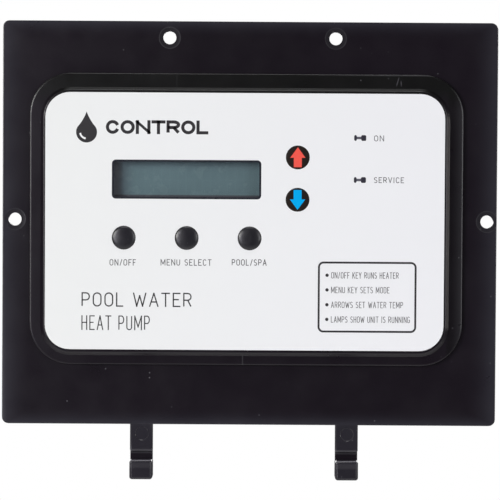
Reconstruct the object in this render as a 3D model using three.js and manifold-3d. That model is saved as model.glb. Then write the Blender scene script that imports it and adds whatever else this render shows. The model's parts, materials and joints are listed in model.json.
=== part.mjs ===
// Control panel of a pool heat pump: a moulded black bezel with a raised frame, a membrane keypad with five keys and
// two lamps, a 16 x 2 character display module and, behind them, a control board.
// Millimetres. +X is to the user's right, +Z is up, and the panel faces -Y.
// The origin is on the flat front of the flange, in the middle of the plain band under the frame.
import * as THREE from 'three';
import Module from 'manifold-3d';

const wasm = await Module();
wasm.setup();

// ---------------------------------------------------------------- driving dimensions
const LIFT = 74.1;             // the plate's centre stands this far above the origin

const PLATE_W = 214;           // flange, width
const PLATE_H = 174.5;          // flange, height
const PLATE_R = 2.8;           // flange, corner radius
const WALL = 2.5;              // thickness of the moulding
const EDGE_R = 0.4;            // front edge of the flange

const HOLE_D = 5.6;            // cabinet screws
const SEAT_D = 9.0;            // shallow seat round each screw hole
const SEAT_DEEP = 0.2;
const HOLES = [[-34.9, 80.1], [36.8, 80.1], [-101.5, 1.4], [102.7, 1.4]];

const FRAME = { x0: -95.0, x1: 92.1, z0: -61.2, z1: 64.7, r: 17.8 };   // raised frame
const BAND_UP = 2.0;           // the frame's band stands this far in front of the flange
const SLOPE = { x0: -90.3, x1: 86.25, z0: -57.2, z1: 58.55, r: 13.1 };  // foot of the slope from the band to the platform
const PLATFORM = { x0: -88.7, x1: 84.6, z0: -55.6, z1: 57.2, r: 11.5 }; // edge of the platform
const PLATFORM_UP = 3.6;       // the platform under the label

const LABEL = { x0: -88.12, x1: 83.92, z0: -54.53, z1: 56.27, r: 10.7 };
const LABEL_T = 0.4;           // overlay film
const SPACER_T = 1.0;
const CIRCUIT_T = 0.4;
const STACK_IN = 3.0;          // the spacer and circuit are this much smaller than the label on each side

const WINDOW = { x0: -59.43, x1: 4.93, z0: 10.52, z1: 27.36, r: 1.7 }; // display window, outside its dark border
const BORDER = 0.7;            // printed border of the window

const KEY_D = 9.8;             // key caps
const KEY_HOLE_D = 10.3;       // holes for them in the overlay
const KEY_FLANGE_D = 11.6;     // the lip that keeps a cap behind the overlay
const KEY_TRAVEL = 0.5;
const KEYS = {
  key_on_off: { x: -54.2, z: -6.27, domed: true },
  key_menu_select: { x: -27.08, z: -6.27, domed: true },
  key_pool_spa: { x: 0.04, z: -6.27, domed: true },
  key_up: { x: 20.6, z: 28.72, domed: false },
  key_down: { x: 20.6, z: 10.5, domed: false },
};
const DOME_D = 9.0;            // snap dome under each key
const DOME_UP = 0.6;
const DOME_T = 0.12;

const LAMPS = { on: { x: 47.4, z: 37.24 }, service: { x: 47.4, z: 19.17 } };

const HOOK_W = 9.9;
const HOOK_X = [-46.4, 42.6];
const TAB_END = -99.05;        // bottom of the tab
const FOOT_TOP = -102.3;
const FOOT_END = -110.75;
const FOOT_OUT = 4.5;          // the foot stands this far in front of the tab
const PIN_D = 5.5;             // ejector pin mark on each tab

const LCD_X = -27.25, LCD_Z = 18.94;       // centre of the display module
const LCD_BOARD = { w: 80, h: 36, t: 1.6 };
const LCD_HOLES = { w: 75, h: 31 };
const LCD_FRAME = { w: 71.2, h: 24.2 };
const LCD_VIEW = { w: 64.5, h: 16.4 };
const LCD_BACK = 6.3;          // front face of the display's board

const BOARD_X = -1.7, BOARD_Z = 1.75;      // centre of the control board
const BOARD = { w: 150, h: 100, t: 1.6 };
const BOARD_HOLES = { w: 140, h: 90 };
const BOARD_Y = 14.0;          // front face of the control board

// ---------------------------------------------------------------- helpers
// Joins equal vertices, drops empty triangles and turns the faces outward.
function clean(geometry) {
  const g = geometry.index ? geometry.toNonIndexed() : geometry;
  const p = g.attributes.position;
  const seen = new Map(), verts = [], idx = [];
  const at = (i) => {
    const v = [p.getX(i), p.getY(i), p.getZ(i)].map((c) => Math.round(c * 1e4) / 1e4 + 0);
    const k = v.join(',');
    if (!seen.has(k)) { seen.set(k, verts.length / 3); verts.push(...v); }
    return seen.get(k);
  };
  for (let i = 0; i < p.count; i += 3) {
    const a = at(i), b = at(i + 1), c = at(i + 2);
    if (a !== b && b !== c && a !== c) idx.push(a, b, c);
  }
  let vol = 0;
  for (let i = 0; i < idx.length; i += 3) {
    const [a, b, c] = [idx[i], idx[i + 1], idx[i + 2]].map((k) => verts.slice(k * 3, k * 3 + 3));
    vol += a[0] * (b[1] * c[2] - b[2] * c[1]) - a[1] * (b[0] * c[2] - b[2] * c[0]) + a[2] * (b[0] * c[1] - b[1] * c[0]);
  }
  if (vol < 0) for (let i = 0; i < idx.length; i += 3) [idx[i + 1], idx[i + 2]] = [idx[i + 2], idx[i + 1]];
  const out = new THREE.BufferGeometry();
  out.setAttribute('position', new THREE.Float32BufferAttribute(verts, 3));
  out.setIndex(idx);
  return out;
}

function solid(geometry) {
  const g = clean(geometry);
  return new wasm.Manifold(new wasm.Mesh({
    numProp: 3,
    vertProperties: new Float32Array(g.attributes.position.array),
    triVerts: new Uint32Array(g.index.array),
  }));
}

function geometryOf(m) {
  const mesh = m.getMesh();
  const n = mesh.numProp, count = mesh.vertProperties.length / n;
  const verts = new Float32Array(count * 3);
  for (let i = 0; i < count; i++) for (let k = 0; k < 3; k++) verts[i * 3 + k] = mesh.vertProperties[i * n + k];
  const g = new THREE.BufferGeometry();
  g.setAttribute('position', new THREE.BufferAttribute(verts, 3));
  g.setIndex(Array.from(mesh.triVerts));
  return g;
}

const join = (base, ...more) => geometryOf(more.reduce((a, b) => a.add(solid(b)), solid(base)));
const cut = (base, ...more) => geometryOf(more.reduce((a, b) => a.subtract(solid(b)), solid(base)));

// A rounded rectangle as points in X and Z.
function rounded(b, inset = 0, n = 8) {
  const x0 = b.x0 + inset, x1 = b.x1 - inset, z0 = b.z0 + inset, z1 = b.z1 - inset, r = Math.max(b.r - inset, 0.05);
  const pts = [];
  for (const [cx, cz, a0] of [[x1 - r, z0 + r, -90], [x1 - r, z1 - r, 0], [x0 + r, z1 - r, 90], [x0 + r, z0 + r, 180]])
    for (let i = 0; i <= n; i++) {
      const a = (a0 + (90 * i) / n) * Math.PI / 180;
      pts.push([cx + r * Math.cos(a), cz + r * Math.sin(a)]);
    }
  return pts;
}
const centred = (x, z, w, h, r) => ({ x0: x - w / 2, x1: x + w / 2, z0: z - h / 2, z1: z + h / 2, r });
function circle(x, z, d, n = 32) {
  return Array.from({ length: n }, (_, i) => {
    const a = (2 * Math.PI * i) / n;
    return [x + (d / 2) * Math.cos(a), z + (d / 2) * Math.sin(a)];
  });
}

// A solid through a row of outlines with the same number of points, each at its own depth Y.
function loft(levels) {
  const verts = [], idx = [], n = levels[0].pts.length;
  for (const l of levels) for (const [x, z] of l.pts) verts.push(x, l.y, z);
  for (let k = 0; k + 1 < levels.length; k++)
    for (let i = 0; i < n; i++) {
      const j = (i + 1) % n, a = k * n + i, b = k * n + j, c = a + n, d = b + n;
      idx.push(a, b, d, a, d, c);
    }
  const cap = (k, flip) => {
    const contour = levels[k].pts.map(([x, z]) => new THREE.Vector2(x, z));
    for (const [a, b, c] of THREE.ShapeUtils.triangulateShape(contour, []))
      idx.push(...(flip ? [k * n + a, k * n + b, k * n + c] : [k * n + a, k * n + c, k * n + b]));
  };
  cap(0, false);
  cap(levels.length - 1, true);
  const g = new THREE.BufferGeometry();
  g.setAttribute('position', new THREE.Float32BufferAttribute(verts, 3));
  g.setIndex(idx);
  return g;
}

// A flat piece with its outline in X and Z, from depth y0 (front) to y1 (back), with holes.
function sheet(outline, y0, y1, holes = []) {
  const v = (pts) => pts.map(([x, z]) => new THREE.Vector2(x, z));
  const shape = new THREE.Shape(v(outline));
  for (const h of holes) shape.holes.push(new THREE.Path(v(h)));
  const g = new THREE.ExtrudeGeometry(shape, { depth: y1 - y0, bevelEnabled: false });
  g.rotateX(Math.PI / 2);
  g.translate(0, y1, 0);
  return g;
}

// A piece with its outline in Y and Z, from x0 to x1, with its two end edges rounded by bevel.
function slab(outline, x0, x1, bevel = 0, segments = 2) {
  const shape = new THREE.Shape(outline.map(([y, z]) => new THREE.Vector2(y, z)));
  const g = new THREE.ExtrudeGeometry(shape, {
    depth: x1 - x0 - 2 * bevel, bevelEnabled: bevel > 0, bevelThickness: bevel, bevelSize: bevel, bevelOffset: -bevel, bevelSegments: segments,
  });
  g.translate(0, 0, x0 + bevel);
  g.applyMatrix4(new THREE.Matrix4().makeBasis(new THREE.Vector3(0, 1, 0), new THREE.Vector3(0, 0, 1), new THREE.Vector3(1, 0, 0)));
  return g;
}

function box(x0, x1, y0, y1, z0, z1) {
  const g = new THREE.BoxGeometry(x1 - x0, y1 - y0, z1 - z0);
  g.translate((x0 + x1) / 2, (y0 + y1) / 2, (z0 + z1) / 2);
  return g;
}
const block = (x, z, w, h, y0, y1) => box(x - w / 2, x + w / 2, y0, y1, z - h / 2, z + h / 2);

// A turned piece about an axis along Y through (x, z). The profile is a closed row of [radius, y].
function turned(x, z, profile, n = 24) {
  const g = new THREE.LatheGeometry([...profile].map(([r, y]) => new THREE.Vector2(r, y)), n);
  g.translate(x, 0, z);
  return g;
}
// A shallow recess in the flange's front, with a sloping wall.
const dish = (x, z, d, deep, slope, n = 24) => turned(x, z, [[0, -2], [d / 2 + slope, -2], [d / 2 + slope, 0], [d / 2, deep], [0, deep]], n);
const rod = (x, z, d, y0, y1, n = 24) => turned(x, z, [[0, y0], [d / 2, y0], [d / 2, y1], [0, y1]], n);

const group = new THREE.Group();
group.name = 'control_panel';
function add(name, geometry, color, roughness = 0.5, metalness = 0) {
  const g = clean(geometry);
  g.translate(0, 0, LIFT);
  g.computeVertexNormals();
  const mesh = new THREE.Mesh(g, new THREE.MeshStandardMaterial({ color, roughness, metalness }));
  mesh.name = name;
  group.add(mesh);
}

// ---------------------------------------------------------------- bezel
const plate = { x0: -PLATE_W / 2, x1: PLATE_W / 2, z0: -PLATE_H / 2, z1: PLATE_H / 2, r: PLATE_R };
const flange = loft([
  { y: WALL, pts: rounded(plate, 0.2, 5) },
  { y: WALL - 0.2, pts: rounded(plate, 0, 5) },
  { y: EDGE_R, pts: rounded(plate, 0, 5) },
  { y: EDGE_R * 0.3, pts: rounded(plate, EDGE_R * 0.3, 5) },
  { y: 0, pts: rounded(plate, EDGE_R, 5) },
]);
const N = 10;            // facets per corner of the frame
const raised = loft([
  { y: 1.5, pts: rounded(FRAME, -0.12, N) },           // the sides draw in towards the front, as a mould needs
  { y: -BAND_UP + 0.6, pts: rounded(FRAME, 0.04, N) },
  { y: -BAND_UP + 0.2, pts: rounded(FRAME, 0.17, N) },
  { y: -BAND_UP + 0.03, pts: rounded(FRAME, 0.46, N) },
  { y: -BAND_UP, pts: rounded(FRAME, 0.8, N) },
  { y: -BAND_UP - 0.12, pts: rounded(SLOPE, 0, N) },
  { y: -PLATFORM_UP + 0.3, pts: rounded(PLATFORM, -0.42, N) },
  { y: -PLATFORM_UP + 0.07, pts: rounded(PLATFORM, -0.13, N) },
  { y: -PLATFORM_UP, pts: rounded(PLATFORM, 0.12, N) },
]);

const POCKET_Y = 0.3;          // floor of the hollow behind the frame
const WALL_BACK = 6.0;         // the wall round that hollow ends here
const hollow = { x0: FRAME.x0 + WALL, x1: FRAME.x1 - WALL, z0: FRAME.z0 + WALL, z1: FRAME.z1 - WALL, r: FRAME.r - WALL };
const rearWall = loft([{ y: WALL - 0.5, pts: rounded(hollow, -2, N) }, { y: WALL_BACK, pts: rounded(hollow, -1.8, N) }]);
const rearHollow = loft([{ y: POCKET_Y, pts: rounded(hollow, 0.2, N) }, { y: WALL_BACK + 1, pts: rounded(hollow, 0, N) }]);

// A hook: a tab in the flange's plane, a neck behind the groove, and a foot that stands forward.
function hook(x) {
  const across = { x0: x - HOOK_W / 2, x1: x + HOOK_W / 2 };
  const tab = { ...across, z0: TAB_END, z1: -80, r: 0.9 };
  const foot = { ...across, z0: FOOT_END, z1: FOOT_TOP, r: 1.1 };
  const neck = [[2.2, -87.6], [1.4, -97.5], [1.4, FOOT_TOP - 1.5], [4.4, FOOT_TOP - 1.5], [4.4, -91]];
  return [
    loft([
      { y: 2.4, pts: rounded(tab, 0, 4) }, { y: 0.4, pts: rounded(tab, 0, 4) }, { y: 0.12, pts: rounded(tab, 0.2, 4) },
      { y: 0, pts: rounded(tab, 0.75, 4) },
    ]),
    slab(neck, x - HOOK_W / 2 + 0.1, x + HOOK_W / 2 - 0.1, 0.3, 1),
    loft([
      { y: 4.4, pts: rounded(foot, 0.3, 4) }, { y: 4.1, pts: rounded(foot, 0, 4) }, { y: 0.9 - FOOT_OUT, pts: rounded(foot, 0, 4) },
      { y: 0.55 - FOOT_OUT, pts: rounded(foot, 0.12, 4) }, { y: 0.2 - FOOT_OUT, pts: rounded(foot, 0.5, 4) },
      { y: -FOOT_OUT, pts: rounded(foot, 1.05, 4) },
    ]),
  ];
}

const corners = (cx, cz, s) => [[-1, -1], [1, -1], [-1, 1], [1, 1]].map(([a, b]) => [cx + (a * s.w) / 2, cz + (b * s.h) / 2]);
const lcdPosts = corners(LCD_X, LCD_Z, LCD_HOLES);
const boardPosts = corners(BOARD_X, BOARD_Z, BOARD_HOLES);

const opening = centred(LCD_X, (WINDOW.z0 + WINDOW.z1) / 2, WINDOW.x1 - WINDOW.x0 - 2 * BORDER, WINDOW.z1 - WINDOW.z0 - 2 * BORDER, 1.0);
const TAIL_X = -1.0, TAIL_W = 16, SLOT_W = 19, SLOT_Z0 = -42.2, SLOT_Z1 = -38.8;
const stack = { x0: LABEL.x0 + STACK_IN, x1: LABEL.x1 - STACK_IN, z0: LABEL.z0 + STACK_IN, z1: LABEL.z1 - STACK_IN, r: LABEL.r - STACK_IN };
const FLOOR = -PLATFORM_UP + SPACER_T + CIRCUIT_T;   // floor of the pocket the keypad lies in

let bezel = solid(flange).add(solid(raised)).add(solid(rearWall)).subtract(solid(rearHollow));
for (const h of HOOK_X.flatMap(hook)) bezel = bezel.add(solid(h));
for (const [x, z] of lcdPosts) bezel = bezel.add(solid(turned(x, z, [[0, 0], [3.1, 0], [2.7, LCD_BACK], [0, LCD_BACK]], 14)));
for (const [x, z] of boardPosts) bezel = bezel.add(solid(turned(x, z, [[0, 0], [4.0, 0], [3.4, BOARD_Y], [0, BOARD_Y]], 16)));
const RIB_T = 1.6, RIB_BACK = 3.4;
for (const x of [33, 58]) bezel = bezel.add(solid(box(x - RIB_T / 2, x + RIB_T / 2, 0, RIB_BACK, -59, 62.5)));
for (const z of [-26, 44]) bezel = bezel.add(solid(box(-92.8, 89.9, 0, RIB_BACK, z - RIB_T / 2, z + RIB_T / 2)));
for (const x of [-52, -22]) bezel = bezel.add(solid(box(x - RIB_T / 2, x + RIB_T / 2, 0, RIB_BACK, -59, -26)));
const bezelCuts = [
  sheet(rounded(stack, -0.25, 8), -PLATFORM_UP - 1, FLOOR),
  sheet(rounded(opening, 0, 4), -6, 3),
  box(TAIL_X - SLOT_W / 2, TAIL_X + SLOT_W / 2, -6, 3, SLOT_Z0, SLOT_Z1),
  ...HOLES.flatMap(([x, z]) => [rod(x, z, HOLE_D, -2, 5, 24), dish(x, z, SEAT_D, SEAT_DEEP, 0.3, 24)]),
  ...lcdPosts.map(([x, z]) => rod(x, z, 2.4, 1.8, LCD_BACK + 1, 8)),
  ...boardPosts.map(([x, z]) => rod(x, z, 3.0, 4.0, BOARD_Y + 1, 8)),
  ...HOOK_X.map((x) => dish(x + 0.2, -91.3, PIN_D, 0.28, 0.3, 20)),
];
for (const c of bezelCuts) bezel = bezel.subtract(solid(c));
add('bezel', geometryOf(bezel), 0x1c1a20, 0.42);

// ---------------------------------------------------------------- keypad
const FRONT = -PLATFORM_UP - LABEL_T;                // front face of the overlay
const SPACER_BACK = -PLATFORM_UP + SPACER_T;
// The lamp windows have the outline of a small block, a neck and a larger block.
function lampOutline({ x, z }, gap = 0) {
  const half = [
    [-2.6, 0.85], [-2.25, 1.25], [-1.75, 1.25], [-1.35, 0.55], [0.3, 0.55], [0.75, 1.25], [2.2, 1.25], [2.6, 0.85],
  ].map(([a, b]) => [a * (1 - gap / 2.6), b - gap]);
  return [...half.map(([a, b]) => [x + a, z + b]), ...half.reverse().map(([a, b]) => [x + a, z - b])].reverse();
}
const keyList = Object.values(KEYS);
add('graphic_overlay', sheet(rounded(LABEL, 0, 10), FRONT, -PLATFORM_UP, [
  rounded(WINDOW, 0, 5),
  ...keyList.map((k) => circle(k.x, k.z, KEY_HOLE_D)),
  ...Object.values(LAMPS).map((l) => lampOutline(l)),
]), 0xedeef0, 0.3);
add('display_window', sheet(rounded(WINDOW, 0.03, 5), FRONT, -PLATFORM_UP), 0x9aa6a8, 0.1);
add('lamp_window_on', sheet(lampOutline(LAMPS.on, 0.03), FRONT, -PLATFORM_UP), 0x3a3a44, 0.15);
add('lamp_window_service', sheet(lampOutline(LAMPS.service, 0.03), FRONT, -PLATFORM_UP), 0x3a3a44, 0.15);

add('membrane_spacer', sheet(rounded(stack, 0, 8), -PLATFORM_UP, SPACER_BACK, [
  rounded(opening, 0, 4),
  ...keyList.map((k) => circle(k.x, k.z, KEY_FLANGE_D + 0.8, 18)),
  ...Object.values(LAMPS).map((l) => rounded(centred(l.x, l.z, 4.6, 2.2, 0.3), 0, 2)),
]), 0x2a2a2e, 0.6);
add('membrane_circuit', sheet(rounded(stack, 0, 8), SPACER_BACK, FLOOR, [rounded(opening, 0, 4)]), 0xc9b27a, 0.4);

// The tail leaves the circuit through the slot, loops once and enters the connector from below.
const tailPath = new THREE.CatmullRomCurve3([
  [FLOOR, -40.5], [1, -40.5], [4, -40.8], [6.6, -42.6], [8.2, -45.2], [10.2, -46.2], [11.5, -44.6], [11.6, -41.5], [11.6, -37.3],
].map(([y, z]) => new THREE.Vector3(0, y, z)));
const TAIL_T = 0.24, left = [], right = [];
for (let i = 0; i <= 26; i++) {
  const p = tailPath.getPointAt(i / 26), t = tailPath.getTangentAt(i / 26);
  if (i === 0) t.set(0, 1, 0);
  if (i === 26) t.set(0, 0, 1);
  left.push([p.y - t.z * TAIL_T / 2, p.z + t.y * TAIL_T / 2]);
  right.push([p.y + t.z * TAIL_T / 2, p.z - t.y * TAIL_T / 2]);
}
add('keypad_tail', slab([...left, ...right.reverse()], TAIL_X - TAIL_W / 2, TAIL_X + TAIL_W / 2), 0xb98a3c, 0.4);

for (const [k, l] of Object.entries(LAMPS))
  add(`led_${k}`, join(block(l.x + 0.3, l.z, 2.2, 1.5, SPACER_BACK - 0.7, SPACER_BACK), block(l.x + 0.3, l.z, 3.4, 1.1, SPACER_BACK - 0.35, SPACER_BACK)), 0xd8d8cc, 0.4);

for (const [name, k] of Object.entries(KEYS)) {
  const r = KEY_D / 2, f = KEY_FLANGE_D / 2, y = -PLATFORM_UP;
  const top = k.domed
    ? [[r, FRONT - 0.1], [r - 0.15, FRONT - 0.3], [r - 0.6, FRONT - 0.52], [r * 0.68, FRONT - 0.78], [r * 0.36, FRONT - 0.96], [0, FRONT - 1.02]]
    : [[r, FRONT - 0.05], [r - 0.1, FRONT - 0.16], [r - 0.35, FRONT - 0.22], [0, FRONT - 0.22]];
  add(name, turned(k.x, k.z, [[0, y + 0.32], [f, y + 0.32], [f, y + 0.02], [r, y + 0.02], ...top], 30), 0x2c2c33, 0.35);
  const b = SPACER_BACK, d = DOME_D / 2, out = [], inner = [];
  for (let i = 0; i <= 3; i++) {
    const a = (i / 3) * Math.PI / 2, s = Math.sin(a), c = Math.cos(a);
    out.push([d * c, b - DOME_UP * s]);
    inner.push([(d - DOME_T) * c, b - (DOME_UP - DOME_T) * s]);
  }
  add(name.replace('key_', 'dome_'), turned(k.x, k.z, [...inner.reverse(), ...out], 16), 0xc8c9cc, 0.25, 1);
}

// ---------------------------------------------------------------- display module
const GLASS_Y = 0.95, LIGHT_Y = 3.15;
const lcdFrame = solid(block(LCD_X, LCD_Z, LCD_FRAME.w, LCD_FRAME.h, POCKET_Y + 0.1, LCD_BACK))
  .subtract(solid(block(LCD_X, LCD_Z, LCD_FRAME.w - 0.9, LCD_FRAME.h - 0.9, GLASS_Y - 0.05, LCD_BACK + 1)))
  .subtract(solid(block(LCD_X, LCD_Z, LCD_VIEW.w, LCD_VIEW.h, -1, 2)));
add('lcd_frame', geometryOf(lcdFrame), 0x4a4c50, 0.4, 1);
add('lcd_glass', block(LCD_X, LCD_Z, 70, 23, GLASS_Y, LIGHT_Y), 0x5f727a, 0.15);
add('lcd_backlight', block(LCD_X, LCD_Z, 70, 23, LIGHT_Y + 0.02, LCD_BACK - 0.02), 0xd9dccf, 0.5);
add('lcd_board', sheet(rounded(centred(LCD_X, LCD_Z, LCD_BOARD.w, LCD_BOARD.h, 1), 0, 3), LCD_BACK, LCD_BACK + LCD_BOARD.t,
  lcdPosts.map(([x, z]) => circle(x, z, 2.7, 12))), 0x1f5a38, 0.5);
const LCD_REAR = LCD_BACK + LCD_BOARD.t, HEAD_X = LCD_X - 12.95, HEAD_Z = LCD_Z + 15.5;
add('lcd_header', block(HEAD_X, HEAD_Z, 40.6, 2.5, LCD_REAR, BOARD_Y), 0x1a1a1c, 0.5);

// A pan-head screw driven from behind, with a cross recess.
function screw(x, z, seat, tip, shankD, headD, headT) {
  const r = headD / 2, s = shankD / 2, y1 = seat + headT;
  const body = turned(x, z, [[0, tip], [s * 0.5, tip], [s, tip + 0.8], [s, seat], [r, seat], [r, seat + headT * 0.45], [r * 0.82, y1 - 0.12], [r * 0.55, y1], [0, y1]], 12);
  const arm = headD * 0.3, w = headD * 0.055;
  return cut(body, box(x - arm, x + arm, y1 - headT * 0.55, y1 + 1, z - w, z + w), box(x - w, x + w, y1 - headT * 0.55, y1 + 1, z - arm, z + arm));
}
lcdPosts.forEach(([x, z], i) => add(`lcd_screw_${i + 1}`, screw(x, z, LCD_REAR, 2.6, 2.0, 4.2, 1.7), 0xb8babd, 0.3, 1));

// ---------------------------------------------------------------- control board
const REAR = BOARD_Y + BOARD.t;
add('control_board', sheet(rounded(centred(BOARD_X, BOARD_Z, BOARD.w, BOARD.h, 2), 0, 3), BOARD_Y, REAR,
  boardPosts.map(([x, z]) => circle(x, z, 3.4, 12))), 0x1d6b3a, 0.5);
boardPosts.forEach(([x, z], i) => add(`board_screw_${i + 1}`, screw(x, z, REAR, 5.0, 2.6, 5.6, 2.1), 0xb8babd, 0.3, 1));

const chamferBlock = (x, z, w, h, y0, y1, c) => loft([
  { y: y0, pts: rounded(centred(x, z, w, h, c), 0, 1) },
  { y: y1 - c, pts: rounded(centred(x, z, w, h, c), 0, 1) },
  { y: y1, pts: rounded(centred(x, z, w, h, c), c, 1) },
]);

// Relays
[-54, -33, -12].forEach((x, i) => add(`relay_${i + 1}`, chamferBlock(x, -14, 15.6, 19.2, REAR, REAR + 15.4, 0.6), 0x1d4f8f, 0.4));

// Rising-clamp terminals: a stepped strip with a screw well over each wire entry.
function terminals(x, z, ways) {
  const w = ways * 5.08, y1 = REAR + 13.6;
  const side = [[REAR, z - 5], [REAR + 9.2, z - 5], [REAR + 10.4, z - 3.4], [y1, z - 2.6], [y1, z + 3], [REAR + 10, z + 4.6], [REAR, z + 4.6]];
  let s = solid(slab(side, x - w / 2, x + w / 2));
  for (let i = 0; i < ways; i++) {
    const cx = x - w / 2 + 5.08 * (i + 0.5);
    s = s.subtract(solid(rod(cx, z + 0.2, 3.6, y1 - 3, y1 + 1, 10)));
    s = s.subtract(solid(box(cx - 1.6, cx + 1.6, REAR + 2, REAR + 5.4, z - 6, z - 1.6)));
    s = s.add(solid(rod(cx, z + 0.2, 3.0, y1 - 4, y1 - 1.6, 8)));
  }
  return geometryOf(s);
}
add('terminal_block', terminals(39, -40, 8), 0x2f8a4e, 0.5);
add('power_terminal', terminals(-48, -40, 4), 0x2f8a4e, 0.5);

// Supply: fuse in two clips, capacitors, regulator on its heat sink
const FUSE_X = -12, FUSE_Z = -38, FUSE_Y = REAR + 4.6;
const fuse = new THREE.LatheGeometry([[0, -10], [2.6, -10], [2.6, -5.2], [2.35, -5.0], [2.35, 5.0], [2.6, 5.2], [2.6, 10], [0, 10]].map(([r, h]) => new THREE.Vector2(r, h)), 18);
fuse.rotateZ(Math.PI / 2);
fuse.translate(FUSE_X, FUSE_Y, FUSE_Z);
add('fuse', fuse, 0xc9cdd0, 0.2, 0.6);
[-7.6, 7.6].forEach((d, i) => {
  const bed = new THREE.LatheGeometry([[0, -3], [2.85, -3], [2.85, 3], [0, 3]].map(([r, h]) => new THREE.Vector2(r, h)), 18);
  bed.rotateZ(Math.PI / 2);
  bed.translate(FUSE_X + d, FUSE_Y, FUSE_Z);
  add(`fuse_clip_${i + 1}`, cut(block(FUSE_X + d, FUSE_Z, 4, 7, REAR, FUSE_Y + 1.4), bed), 0xc2b280, 0.3, 1);
});
const can = (x, z, d, h) => turned(x, z, [[0, REAR], [d / 2 - 0.3, REAR], [d / 2, REAR + 0.6], [d / 2, REAR + 1.8], [d / 2 - 0.35, REAR + 2.2], [d / 2, REAR + 2.6], [d / 2, REAR + h - 0.5], [d / 2 - 0.5, REAR + h], [0, REAR + h]], 16);
add('capacitor_1', can(47, -14, 12.5, 18), 0x27324a, 0.35);
add('capacitor_2', can(62, -14, 10, 16), 0x27324a, 0.35);
add('capacitor_3', can(60, 2, 8, 11.5), 0x27324a, 0.35);
const HS_X = 17, HS_Z = -12;
const finOutline = [[HS_X - 11.3, REAR + 0.5], [HS_X - 11.3, REAR + 17], [HS_X - 9.7, REAR + 17], [HS_X - 9.7, REAR + 3], [HS_X - 4.7, REAR + 3], [HS_X - 4.7, REAR + 17],
  [HS_X - 3.1, REAR + 17], [HS_X - 3.1, REAR + 3], [HS_X + 3.1, REAR + 3], [HS_X + 3.1, REAR + 17], [HS_X + 4.7, REAR + 17], [HS_X + 4.7, REAR + 3], [HS_X + 9.7, REAR + 3],
  [HS_X + 9.7, REAR + 17], [HS_X + 11.3, REAR + 17], [HS_X + 11.3, REAR + 0.5]];
const sinkShape = new THREE.Shape(finOutline.map(([x, y]) => new THREE.Vector2(x, y)));
const sink = new THREE.ExtrudeGeometry(sinkShape, { depth: 19, bevelEnabled: false });
sink.translate(0, 0, HS_Z - 9.5);
add('heat_sink', sink, 0x9fa3a8, 0.35, 1);
// The regulator stands on its legs beside the sink with its tab against the bottom fin edge.
add('regulator', join(block(HS_X, HS_Z + 12.0, 10, 4.4, REAR + 4, REAR + 13), block(HS_X, HS_Z + 10.3, 10, 1.3, REAR + 4.5, REAR + 19),
  ...[-2.54, 0, 2.54].map((d) => block(HS_X + d, HS_Z + 12.0, 0.9, 0.6, REAR, REAR + 4.5))), 0x202022, 0.45);

// Logic
add('microcontroller', chamferBlock(2, 22, 16.6, 16.6, REAR, REAR + 4.2, 0.8), 0x1b1b1d, 0.45);
const chipSide = [[REAR + 0.8, -3.3], [REAR + 2.2, -3.5], [REAR + 4.2, -3.1], [REAR + 4.2, 3.1], [REAR + 2.2, 3.5], [REAR + 0.8, 3.3]];
let driver = solid(slab(chipSide.map(([y, z]) => [y, z + 22]), 22, 45));
for (let i = 0; i < 9; i++)
  for (const s of [-1, 1]) {
    const x = 33.5 + (i - 4) * 2.54;
    driver = driver.add(solid(box(x - 0.6, x + 0.6, REAR, REAR + 2.4, 22 + s * 3.8 - 0.5, 22 + s * 3.8 + 0.5)));
  }
add('driver_chip', geometryOf(driver), 0x1b1b1d, 0.45);
add('crystal', sheet(rounded(centred(-17, 24, 11, 4.6, 2.29), 0, 6), REAR, REAR + 3.6), 0xb9bbbe, 0.25, 1);

// Pin headers with a shroud
function header(x, z, pins) {
  const w = pins * 2.5 + 2.4;
  let s = solid(block(x, z, w, 5.4, REAR, REAR + 7)).subtract(solid(block(x, z, w - 1.6, 3.8, REAR + 1.4, REAR + 8)));
  for (let i = 0; i < pins; i++) s = s.add(solid(block(x + (i - (pins - 1) / 2) * 2.5, z, 0.64, 0.64, REAR + 1, REAR + 6)));
  return geometryOf(s);
}
add('sensor_header', header(-46, 40, 8), 0xe6e2d4, 0.5);
add('comm_header', header(-8, 42, 4), 0xe6e2d4, 0.5);
// Connector of the keypad tail, on the front side of the board
add('tail_connector', block(TAIL_X, -34.2, 19, 6, 9.4, BOARD_Y), 0xe6e2d4, 0.5);

export default group;
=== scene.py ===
"""Control panel of a pool heat pump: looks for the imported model. Metres, +X right, +Z up, the panel faces -Y."""
import json
import math
import random

import bmesh
import bpy
from mathutils import Matrix, Vector


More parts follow.
